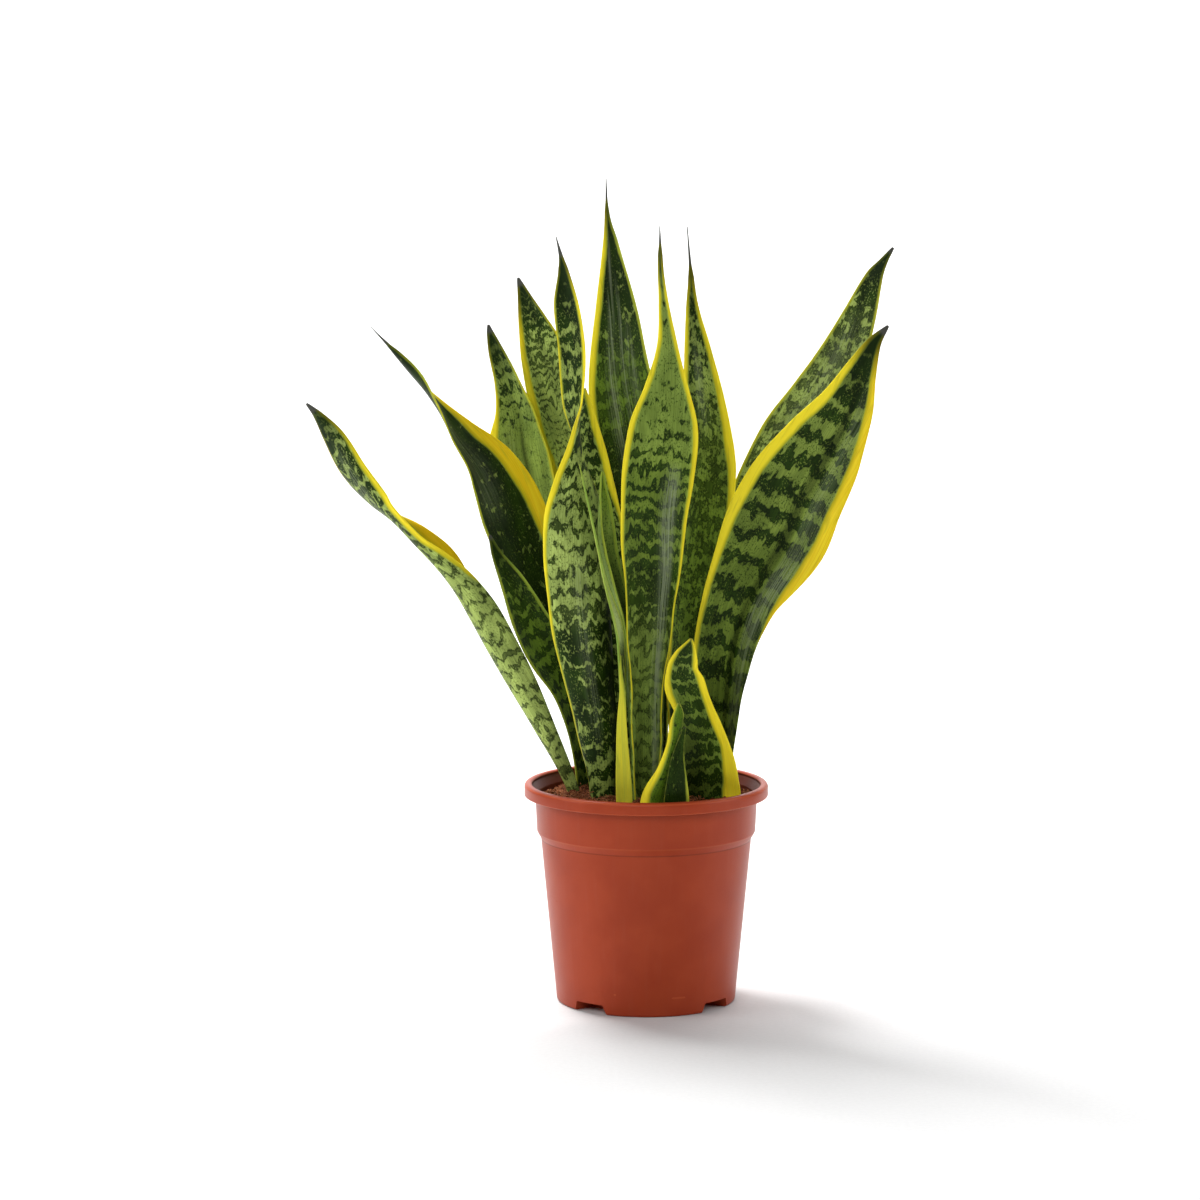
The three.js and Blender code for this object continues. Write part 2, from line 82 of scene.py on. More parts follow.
def with_round_corners(corners, steps=5):
    """An outline of (x, y, radius) corners as plain points, each corner rounded by an arc."""
    points = []
    for i, (x, y, radius) in enumerate(corners):
        here = np.array([x, y])
        if radius == 0 or i in (0, len(corners) - 1):
            points.append(here)
            continue
        before = np.array(corners[i - 1][:2]) - here
        after = np.array(corners[i + 1][:2]) - here
        before /= np.linalg.norm(before)
        after /= np.linalg.norm(after)
        half = math.acos(np.clip(before @ after, -1, 1)) / 2
        bisector = (before + after) / np.linalg.norm(before + after)
        centre = here + bisector * radius / math.sin(half)
        start = here + before * radius / math.tan(half) - centre
        end = here + after * radius / math.tan(half) - centre
        sweep = math.pi - 2 * half
        for k in range(steps + 1):
            share = k / steps
            weights = math.sin((1 - share) * sweep), math.sin(share * sweep)
            points.append(centre + (start * weights[0] + end * weights[1]) / math.sin(sweep))
    return points


def new_mesh(name, points, faces):
    mesh = bpy.data.meshes.new(name)
    mesh.from_pydata([tuple(p) for p in points], [], faces)
    mesh.validate()
    return mesh


def new_object(name, mesh):
    made = bpy.data.objects.new(name, mesh)
    bpy.context.scene.collection.objects.link(made)
    return made


def point_outwards(mesh, triangulate=False):
    shape = bmesh.new()
    shape.from_mesh(mesh)
    if triangulate:
        bmesh.ops.triangulate(shape, faces=shape.faces)
    bmesh.ops.recalc_face_normals(shape, faces=shape.faces)
    shape.to_mesh(mesh)
    shape.free()


def revolve(name, profile, turns):
    """A closed body of revolution from a profile that starts and ends on the axis."""
    points = [(0, 0, profile[0][1] * MM), (0, 0, profile[-1][1] * MM)]
    ring = profile[1:-1]
    for radius, height in ring:
        for k in range(turns):
            angle = 2 * math.pi * k / turns
            points.append((radius * math.cos(angle) * MM, radius * math.sin(angle) * MM, height * MM))
    faces = []
    for k in range(turns):
        after = (k + 1) % turns
        faces.append((0, 2 + after, 2 + k))
        for i in range(len(ring) - 1):
            low, high = 2 + i * turns, 2 + (i + 1) * turns
            faces.append((low + k, low + after, high + after, high + k))
        last = 2 + (len(ring) - 1) * turns
        faces.append((1, last + k, last + after))
    mesh = new_mesh(name, points, faces)
    point_outwards(mesh)
    return mesh


def pocket_block(name, angle, margin, low, outer_radius):
    """A drain pocket as a block between two radii, narrower at its roof; its housing is larger."""
    inner = POCKET_INNER_RADIUS - margin
    half_low = math.radians(POCKET_HALF_ANGLE_LOW) * BASE_RADIUS + margin
    half_high = math.radians(POCKET_HALF_ANGLE_HIGH) * BASE_RADIUS + margin
    roof = POCKET_HEIGHT + margin
    corner = POCKET_CORNER + margin
    side = with_round_corners([(half_low, low, 0), (half_high, roof, corner), (0, roof, 0)])
    roof_steps = [(half_high * k / 6, roof) for k in (4, 2)]
    side = side[:-1] + roof_steps + side[-1:]
    outline = side + [(-x, z) for x, z in side[-2::-1]]
    points = []
    for radius in (inner, outer_radius):
        for along, height in outline:
            place = math.radians(angle - 90) + along / BASE_RADIUS
            points.append((radius * math.cos(place) * MM, radius * math.sin(place) * MM, height * MM))
    count = len(outline)
    faces = [tuple(range(count)), tuple(range(2 * count - 1, count - 1, -1))]
    faces += [(k, (k + 1) % count, count + (k + 1) % count, count + k) for k in range(count)]
    mesh = new_mesh(name, points, faces)
    point_outwards(mesh, triangulate=True)
    return mesh


def drain_hole(name, angle):
    mesh = bpy.data.meshes.new(name)
    shape = bmesh.new()
    bmesh.ops.create_cone(shape, cap_ends=True, segments=28, depth=40 * MM,
                          radius1=DRAIN_HOLE_RADIUS * MM, radius2=DRAIN_HOLE_RADIUS * MM)
    place = math.radians(angle - 90)
    shift = (DRAIN_HOLE_PLACE * math.cos(place) * MM, DRAIN_HOLE_PLACE * math.sin(place) * MM, 0)
    bmesh.ops.translate(shape, verts=shape.verts, vec=shift)
    shape.to_mesh(mesh)
    shape.free()
    return mesh


def finished_copy(raw, name):
    """The evaluated object as a plain mesh in a new object, without its modifiers."""
    depsgraph = bpy.context.evaluated_depsgraph_get()
    mesh = bpy.data.meshes.new_from_object(raw.evaluated_get(depsgraph))
    mesh.name = name
    return new_object(name, mesh)


def shade_smooth(piece):
    for polygon in piece.data.polygons:
        polygon.use_smooth = True


def carved(raw, cutters, name):
    """The raw piece with its cutters joined on or cut away, as a smooth, plain piece."""
    for operation, mesh in cutters:
        cut = raw.modifiers.new("cut", "BOOLEAN")
        cut.operation = operation
        cut.solver = "MANIFOLD"
        cut.object = new_object("cutter", mesh)
    piece = finished_copy(raw, name)
    for made in [raw] + [cut.object for cut in raw.modifiers]:
        bpy.data.objects.remove(made)
    shade_smooth(piece)
    return piece


pot_profile = with_round_corners([
    (0, 0, 0), (BASE_RADIUS, 0, 2.0), (*BODY_TOP, 1.2), (*BAND_FOOT, 1.4), (*BAND_TOP, 1.5),
    (RIM_INNER_RADIUS + WALL, RIM_UNDERSIDE, 0.8), (RIM_RADIUS - WALL, RIM_UNDERSIDE, 0.4),
    (RIM_RADIUS - WALL, RIM_SKIRT_LOW, 0.4), (RIM_RADIUS, RIM_SKIRT_LOW, 0.7),
    (RIM_RADIUS, POT_HEIGHT, 2.6), (RIM_INNER_RADIUS, POT_HEIGHT, 1.8),
    (RIM_INNER_RADIUS, POT_HEIGHT - RIM_INNER_FACE, 0.6),
    *((inner_radius(height), height, 1.2) for height in (INNER_LIP, INNER_STEP_HIGH, INNER_STEP_LOW)),
    (inner_radius(FLOOR), FLOOR, 3.0), (0, FLOOR, 0),
])
raw_pot = new_object("raw_pot", revolve("raw_pot", pot_profile, POT_TURNS))
cutters = []
for operation, margin, low, outer in (
        ("UNION", WALL, HOUSING_FOOT, BASE_RADIUS - 0.5), ("DIFFERENCE", 0, -2.0, BASE_RADIUS + 9)):
    for angle in POCKET_ANGLES:
        cutters.append((operation, pocket_block("cutter", angle, margin, low, outer)))
cutters += [("DIFFERENCE", drain_hole("cutter", angle)) for angle in POCKET_ANGLES]
pot = carved(raw_pot, cutters, "pot_body")
pot.data.set_sharp_from_angle(angle=math.radians(SHARP_EDGE_ANGLE))


def add(tree, kind, inputs=(), **settings):
    """Adds a node to a tree. Its inputs are given by name or place, as values or as sockets."""
    made = tree.nodes.new(kind)
    for name, value in settings.items():
        setattr(made, name, value)
    for place, value in dict(inputs).items():
        if isinstance(value, bpy.types.NodeSocket):
            tree.links.new(value, made.inputs[place])
        else:
            made.inputs[place].default_value = value
    return made


def math_node(tree, operation, *values, clamp=False):
    return add(tree, "ShaderNodeMath", dict(enumerate(values)), operation=operation,
               use_clamp=clamp).outputs[0]


def times(tree, first, second, clamp=False):
    return math_node(tree, "MULTIPLY", first, second, clamp=clamp)


def times_plus(tree, first, second, third, clamp=False):
    return math_node(tree, "MULTIPLY_ADD", first, second, third, clamp=clamp)


def split_place(tree, place):
    """The three coordinates of a place, and its distance from the pot's axis."""
    x, y, z = add(tree, "ShaderNodeSeparateXYZ", {0: place}).outputs
    flat = add(tree, "ShaderNodeCombineXYZ", {0: x, 1: y}).outputs[0]
    reach = add(tree, "ShaderNodeVectorMath", {0: flat}, operation="LENGTH").outputs["Value"]
    return x, y, z, reach


def scaled(tree, vector, scale):
    return add(tree, "ShaderNodeVectorMath", {0: vector, 1: scale}, operation="MULTIPLY").outputs[0]


def noise_value(tree, vector, scale=1.0, detail=2.0, roughness=0.5):
    return add(tree, "ShaderNodeTexNoise", {
        "Vector": vector, "Scale": scale, "Detail": detail, "Roughness": roughness}).outputs["Fac"]


def smooth_step(tree, value, low, high):
    return add(tree, "ShaderNodeMapRange", {
        "Value": value, "From Min": low, "From Max": high, "To Min": 0.0, "To Max": 1.0,
    }, interpolation_type="SMOOTHSTEP").outputs["Result"]


def mix_colour(tree, share, first, second):
    made = add(tree, "ShaderNodeMix", {"Factor": share}, data_type="RGBA")
    for place, value in ((6, first), (7, second)):
        if isinstance(value, bpy.types.NodeSocket):
            tree.links.new(value, made.inputs[place])
        else:
            made.inputs[place].default_value = (*value, 1.0)
    return made.outputs[2]


def new_material(name):
    material = bpy.data.materials.new(name)
    material.use_nodes = True
    tree = material.node_tree
    return material, tree, tree.nodes["Principled BSDF"]


def bump_normal(tree, height, strength, distance):
    return add(tree, "ShaderNodeBump", {
        "Height": height, "Strength": strength, "Distance": distance}).outputs["Normal"]


TERRACOTTA_DEEP = (0.335, 0.042, 0.012)
TERRACOTTA_WARM = (0.375, 0.051, 0.015)
TERRACOTTA_HIGHLIGHT_AND_MARK = (0.520, 0.095, 0.030)
TERRACOTTA_DUSTY = (0.40, 0.09, 0.05)
POT_PAINTED_SHADE = (0.055, 0.014, 0.007)
# Painted highlights on the rim top, lip's lower edge and band foot: height, half width and strength.
EDGE_HIGHLIGHTS = ((152.4, 1.0, 0.55), (145.2, 0.7, 0.50), (119.6, 1.0, 0.25))
# Small moulding marks low on the front: place aside, height and half length.
MOULD_MARKS = ((21.9, 13.4, 4.2), (-22.0, 15.5, 0.4))
MARK_SOFT_EDGE = (0.9, 0.3)
MARK_STRENGTH = 0.55
# A painted shadow line just under the step out to the band.
STEP_SHADOW_HEIGHT = BODY_TOP[1] - 0.3
STEP_SHADOW_HALF_WIDTH = 0.7
STEP_SHADOW_STRENGTH = 0.45
# Painted shade darkens the inside from the soil to the lip, where the wall flares out under the rim.
INSIDE_FROM = 139.0
INSIDE_RADIUS = 76.6
INSIDE_SHADE_STRENGTH = 0.84
FLARE_FROM = 145.0
FLARE_RISE = 2.0
FLARE_WIDTH = 3.1


def away_from(tree, value, place):
    return math_node(tree, "ABSOLUTE", math_node(tree, "SUBTRACT", value, place))


pot_plastic, tree, shader = new_material("pot_plastic")
place = add(tree, "ShaderNodeTexCoord").outputs["Object"]
clouding = noise_value(tree, place, 30.0, 3.0)
flow = noise_value(tree, scaled(tree, place, (240.0, 240.0, 9.0)), 1.0, 3.0)
colour = mix_colour(tree, smooth_step(tree, clouding, 0.30, 0.70), TERRACOTTA_DEEP, TERRACOTTA_WARM)
colour = mix_colour(tree, times(tree, smooth_step(tree, flow, 0.5, 0.8), 0.10),
                    colour, TERRACOTTA_DUSTY)
x, y, z, reach = split_place(tree, place)
# Painted highlights: pale lines where the light catches the rounded edges.
for height, half_width, share in EDGE_HIGHLIGHTS:
    edge_highlight = smooth_step(tree, away_from(tree, z, height * MM), half_width * MM, 0.0)
    colour = mix_colour(tree, times(tree, edge_highlight, share), colour, TERRACOTTA_HIGHLIGHT_AND_MARK)
front = math_node(tree, "LESS_THAN", y, 0.0)
for mark_x, mark_z, half_length in MOULD_MARKS:
    aside = math_node(tree, "SUBTRACT", away_from(tree, x, mark_x * MM), half_length * MM)
    aside = math_node(tree, "MAXIMUM", aside, 0.0)
    apart = math_node(tree, "ADD", aside, away_from(tree, z, mark_z * MM))
    mark = smooth_step(tree, apart, MARK_SOFT_EDGE[0] * MM, MARK_SOFT_EDGE[1] * MM)
    mark = times(tree, times(tree, mark, front), MARK_STRENGTH)
    colour = mix_colour(tree, mark, colour, TERRACOTTA_HIGHLIGHT_AND_MARK)
# Painted shadow under the step out to the band.
step_shadow = smooth_step(tree, away_from(tree, z, STEP_SHADOW_HEIGHT * MM), STEP_SHADOW_HALF_WIDTH * MM, 0.0)
colour = mix_colour(tree, times(tree, step_shadow, STEP_SHADOW_STRENGTH), colour, POT_PAINTED_SHADE)
# Painted shade on the inside wall, from the soil up to the flare under the rim.
flare = math_node(tree, "SUBTRACT", z, FLARE_FROM * MM)
flare = times(tree, flare, 1 / (FLARE_RISE * MM), clamp=True)
inner_bound = times_plus(tree, flare, FLARE_WIDTH * MM, INSIDE_RADIUS * MM)
inside = times(tree, math_node(tree, "LESS_THAN", reach, inner_bound),
               math_node(tree, "GREATER_THAN", z, INSIDE_FROM * MM))
colour = mix_colour(tree, times(tree, inside, INSIDE_SHADE_STRENGTH), colour, POT_PAINTED_SHADE)
grain = noise_value(tree, place, 2600.0, 2.0)
scuff = noise_value(tree, scaled(tree, place, (90.0, 90.0, 420.0)), 1.0, 5.0, 0.7)
scuffed = smooth_step(tree, scuff, 0.62, 0.74)
roughness = times_plus(tree, grain, 0.10, 0.33)
roughness = times_plus(tree, scuffed, 0.12, roughness)
relief = times_plus(tree, clouding, 2.0, grain)
tree.links.new(colour, shader.inputs["Base Color"])
tree.links.new(roughness, shader.inputs["Roughness"])
tree.links.new(bump_normal(tree, relief, 0.25, 0.00012), shader.inputs["Normal"])
shader.inputs["IOR"].default_value = 1.27
pot.data.materials.clear()
pot.data.materials.append(pot_plastic)
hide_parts("pot")
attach(pot, "root")

# ---- Soil ----
# Coir potting soil, poured in loose and heaped a little round the leaves: brown crumbs and short,
# paler fibres of coconut husk, darker where it is damp. It fills the pot to 11 mm under the rim.
SOIL_LEVEL = 142.5
SOIL_MOUND = 5.0
SOIL_RIPPLE = 0.9
SOIL_GAP = 0.35
SOIL_RINGS = 110
SOIL_TURNS = 300
SOIL_DARK = (0.038, 0.009, 0.004)
SOIL_BROWN = (0.220, 0.064, 0.025)
SOIL_TAN = (0.470, 0.190, 0.080)
FIBRE_PALE = (0.42, 0.22, 0.12)
SOIL_TOP_FROM = 135.0


def soil_height(x, y):
    mound = SOIL_MOUND * (1 - (x * x + y * y) / inner_radius(SOIL_LEVEL) ** 2)
    ripple = math.sin(0.23 * x + 1.1) * math.cos(0.19 * y - 0.4) + math.sin(0.11 * x - 0.31 * y)
    clods = noise.noise(Vector((x / 9, y / 9, 3.1))) * 1.6
    crumbs = noise.fractal(Vector((x / 2.6, y / 2.6, 7.7)), 1.0, 2.0, 3) * 0.7
    return SOIL_LEVEL + mound + SOIL_RIPPLE * ripple + clods + crumbs


def soil_mesh():
    edge = inner_radius(SOIL_LEVEL) - SOIL_GAP
    rings = [(edge * i / SOIL_RINGS, None) for i in range(1, SOIL_RINGS + 1)]
    sides = (INNER_STEP_HIGH, INNER_STEP_LOW, FLOOR + SOIL_GAP)
    rings += [(inner_radius(height) - SOIL_GAP, height) for height in sides]
    points = [(0, 0, soil_height(0, 0) * MM)]
    for radius, height in rings:
        for k in range(SOIL_TURNS):
            angle = 2 * math.pi * k / SOIL_TURNS
            x, y = radius * math.cos(angle), radius * math.sin(angle)
            points.append((x * MM, y * MM, (soil_height(x, y) if height is None else height) * MM))
    points.append((0, 0, (FLOOR + SOIL_GAP) * MM))
    faces = []
    for k in range(SOIL_TURNS):
        after = (k + 1) % SOIL_TURNS
        faces.append((0, 1 + k, 1 + after))
        for i in range(len(rings) - 1):
            inner, outer = 1 + i * SOIL_TURNS, 1 + (i + 1) * SOIL_TURNS
            faces.append((inner + k, outer + k, outer + after, inner + after))
        foot = 1 + (len(rings) - 1) * SOIL_TURNS
        faces.append((len(points) - 1, foot + after, foot + k))
    mesh = new_mesh("soil_fill", points, faces)
    point_outwards(mesh)
    return mesh


raw_soil = new_object("raw_soil", soil_mesh())
housings = []
for angle in POCKET_ANGLES:
    block = pocket_block("housing", angle, WALL + SOIL_GAP, HOUSING_FOOT, BASE_RADIUS + WALL)
    housings.append(("DIFFERENCE", block))
soil = carved(raw_soil, housings, "soil_fill")


def soil_material(name, dark, mid, pale, pale_share, fineness):
    material, tree, shader = new_material(name)
    place = add(tree, "ShaderNodeTexCoord").outputs["Object"]
    damp = noise_value(tree, place, 42.0, 2.0)
    grit = noise_value(tree, place, fineness, 4.0, 0.65)
    bits = noise_value(tree, place, fineness * 2.3, 1.0)
    colour = mix_colour(tree, smooth_step(tree, grit, 0.36, 0.62), dark, mid)
    pale_bits = times(tree, smooth_step(tree, bits, 0.50, 0.66), pale_share)
    colour = mix_colour(tree, pale_bits, colour, pale)
    colour = mix_colour(tree, times(tree, smooth_step(tree, damp, 0.50, 0.70), 0.6),
                        colour, dark)
    tree.links.new(colour, shader.inputs["Base Color"])
    tree.links.new(bump_normal(tree, grit, 0.9, 0.0012), shader.inputs["Normal"])
    shader.inputs["Roughness"].default_value = 0.95
    shader.inputs["IOR"].default_value = 1.2
    return material


coir = soil_material("coir", SOIL_DARK, SOIL_BROWN, SOIL_TAN, 0.55, 520.0)
coir_crumb = soil_material("coir_crumb", SOIL_DARK, SOIL_BROWN, SOIL_TAN, 0.7, 700.0)
coir_fibre = soil_material("coir_fibre", SOIL_BROWN, SOIL_TAN, FIBRE_PALE, 0.8, 300.0)
soil.data.materials.clear()
soil.data.materials.append(coir)
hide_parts("soil")
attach(soil, "root")


def scatter_tree(name, sockets):
    """A geometry tree that scatters points on the soil's top, and its named inputs."""
    tree = bpy.data.node_groups.new(name, "GeometryNodeTree")
    tree.interface.new_socket("Geometry", in_out="INPUT", socket_type="NodeSocketGeometry")
    identifiers = {}
    for label, (kind, default) in {**sockets, "Reach": ("NodeSocketFloat", 0.07)}.items():
        socket = tree.interface.new_socket(label, in_out="INPUT", socket_type=kind)
        socket.default_value = default
        identifiers[label] = socket.identifier
    tree.interface.new_socket("Geometry", in_out="OUTPUT", socket_type="NodeSocketGeometry")
    source = tree.nodes.new("NodeGroupInput")
    z, reach = split_place(tree, add(tree, "GeometryNodeInputPosition").outputs[0])[2:]
    high = math_node(tree, "GREATER_THAN", z, SOIL_TOP_FROM * MM)
    on_top = add(tree, "FunctionNodeBooleanMath", {
        0: high, 1: math_node(tree, "LESS_THAN", reach, source.outputs["Reach"])})
    scatter = add(tree, "GeometryNodeDistributePointsOnFaces", {
        "Mesh": source.outputs["Geometry"], "Selection": on_top.outputs[0],
        "Density": source.outputs["Density"], "Seed": source.outputs["Seed"]})
    return tree, source, scatter, identifiers


def random_vector(tree, low, high, seed):
    return add(tree, "FunctionNodeRandomValue", {0: low, 1: high, "Seed": seed},
               data_type="FLOAT_VECTOR").outputs[0]


def strewn(tree, scatter, shape, turns, sizes):
    """The shape on every point, turned and sized at random; both are (low, high, seed)."""
    placed = add(tree, "GeometryNodeInstanceOnPoints", {
        "Points": scatter.outputs["Points"], "Instance": shape,
        "Rotation": random_vector(tree, *turns), "Scale": random_vector(tree, *sizes)})
    return add(tree, "GeometryNodeRealizeInstances", {"Geometry": placed.outputs[0]}).outputs[0]


def pushed(tree, geometry, fineness, centre, amount):
    """The geometry with its points pushed about by noise."""
    place = add(tree, "GeometryNodeInputPosition").outputs[0]
    push = add(tree, "ShaderNodeTexNoise", {"Vector": place, "Scale": fineness, "Detail": 1.0})
    centred = add(tree, "ShaderNodeVectorMath", {0: push.outputs["Color"], 1: centre},
                  operation="SUBTRACT").outputs[0]
    offset = add(tree, "ShaderNodeVectorMath", {0: centred, "Scale": amount},
                 operation="SCALE").outputs[0]
    return add(tree, "GeometryNodeSetPosition", {"Geometry": geometry, "Offset": offset}).outputs[0]


def close_tree(tree, geometry, material):
    real = add(tree, "GeometryNodeRealizeInstances", {"Geometry": geometry}).outputs[0]
    set_material = add(tree, "GeometryNodeSetMaterial", {"Geometry": real, "Material": material})
    sink = tree.nodes.new("NodeGroupOutput")
    tree.links.new(set_material.outputs[0], sink.inputs[0])


def scattered(name, tree, identifiers, values):
    """Makes the tree's result on the soil a plain piece of its own."""
    carrier = new_object("carrier", soil.data.copy())
    modifier = carrier.modifiers.new("scatter", "NODES")
    modifier.node_group = tree
    for label, value in values.items():
        modifier[identifiers[label]] = value
    piece = finished_copy(carrier, name)
    bpy.data.objects.remove(carrier)
    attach(piece, "root")


def crumb_tree():
    """Little lumps: spheres of few faces, scattered, stretched, turned and dented."""
    tree, source, scatter, identifiers = scatter_tree("soil crumbs", {
        "Density": ("NodeSocketFloat", 1.0), "Size": ("NodeSocketFloat", 0.001),
        "Seed": ("NodeSocketInt", 1), "Dent": ("NodeSocketFloat", 0.0005)})
    lump = add(tree, "GeometryNodeMeshIcoSphere", {
        "Radius": source.outputs["Size"], "Subdivisions": 2})
    lumps = strewn(tree, scatter, lump.outputs["Mesh"],
                   ((0, 0, 0), (6.28, 6.28, 6.28), 3), ((0.35, 0.35, 0.3), (1.6, 1.2, 1.0), 5))
    dented = pushed(tree, lumps, 620.0, (0.5, 0.5, 0.5), source.outputs["Dent"])
    close_tree(tree, dented, coir_crumb)
    return tree, identifiers


crumbs, crumb_inputs = crumb_tree()
scattered("soil_crumbs", crumbs, crumb_inputs,
          {"Density": 62000.0, "Size": 0.0011, "Seed": 4, "Dent": 0.0014, "Reach": 0.0742})
scattered("soil_clods", crumbs, crumb_inputs,
          {"Density": 11000.0, "Size": 0.0021, "Seed": 9, "Dent": 0.0030, "Reach": 0.0722})


def fibre_tree():
    """Coir fibres: short arcs laid flat, bent at random and given a round section."""
    tree, source, scatter, identifiers = scatter_tree("soil fibres", {
        "Density": ("NodeSocketFloat", 1.0), "Length": ("NodeSocketFloat", 0.01),
        "Thickness": ("NodeSocketFloat", 0.0003), "Sway": ("NodeSocketFloat", 0.009),
        "Seed": ("NodeSocketInt", 1)})
    arc = add(tree, "GeometryNodeCurveArc", {
        "Resolution": 9, "Radius": source.outputs["Length"], "Sweep Angle": 1.4})
    arcs = strewn(tree, scatter, arc.outputs["Curve"],
                  ((-0.45, -0.45, 0), (0.45, 0.45, 6.28), 2), ((0.3, 0.3, 0.3), (1.5, 1.5, 1.5), 8))
    bent = pushed(tree, arcs, 140.0, (0.5, 0.5, 0.38), source.outputs["Sway"])
    section = add(tree, "GeometryNodeCurvePrimitiveCircle", {
        "Resolution": 4, "Radius": source.outputs["Thickness"]})
    strands = add(tree, "GeometryNodeCurveToMesh", {
        "Curve": bent, "Profile Curve": section.outputs["Curve"], "Fill Caps": True})
    close_tree(tree, strands.outputs["Mesh"], coir_fibre)
    return tree, identifiers


fibres, fibre_inputs = fibre_tree()
scattered("soil_fibres", fibres, fibre_inputs,
          {"Density": 68000.0, "Length": 0.0045, "Thickness": 0.00020, "Sway": 0.009, "Seed": 21,
           "Reach": 0.0650})

# ---- Leaf at the far left ----
# Snake plant leaves are thick, leathery straps that grow straight from the rootstock: a fleshy,
# channelled foot, a stiff blade cross-banded in dark and grey green, yellow margins and a dry awl at
# the tip. This one leans far out to the left: a folded gutter below that opens flat towards its tip.
BLADE_SPACING = 2.4
BLADE_ACROSS = 18
MARGIN_THICKNESS = 0.8
FOOT_THICKNESS = 5.5
WAIST_THICKNESS = 3.6
TIP_THICKNESS = 1.4
FOOT_SHARE = 0.25
TIP_CROWDING = 1.3
FOLD_SHARPNESS = 0.10
EDGE_WAVE = 1.5
EDGE_WAVE_LENGTH = 30
EDGE_WAVE_FULL_HALF_WIDTH = 18
RIM_ROUNDNESS = 0.45
LONG_AWL = 12
AWL_SHOULDER = 8
AWL_WIDTH_SHARES = [0.35, 0.62, 1.0]
AWL_BLEND = 3
DARK_TIP_REACH = 34
DARK_TIP_BLEND = 26
STREAK_FADE = 25
PATTERN_SHIFT_ACROSS = 97
PATTERN_SHIFT_ALONG = 531

BLACK_GREEN = (0.002, 0.006, 0.0005)
DARK_GREEN = (0.007, 0.018, 0.0015)
DEEP_GREEN = (0.022, 0.052, 0.004)
GREY_GREEN = (0.540, 0.680, 0.180)
OLIVE_GREEN = (0.185, 0.262, 0.034)
FRESH_GREEN = (0.130, 0.240, 0.014)
SHEEN_GREY = (0.290, 0.340, 0.210)
LEMON = (0.970, 0.810, 0.032)
GOLD = (0.760, 0.480, 0.004)
LEAF_LIME = (0.230, 0.380, 0.060)
PALE_LINE = (0.430, 0.500, 0.050)
AWL_BROWN = (0.070, 0.070, 0.060)
YOUNG_DARK_GREEN = (0.050, 0.100, 0.010)
MARGIN_STAIN = (0.40, 0.37, 0.02)
MARGIN_INNER_EDGE = (0.24, 0.26, 0.008)


def read_vector(tree, name):
    vector = add(tree, "ShaderNodeAttribute", attribute_name=name).outputs["Vector"]
    return add(tree, "ShaderNodeSeparateXYZ", {0: vector}).outputs


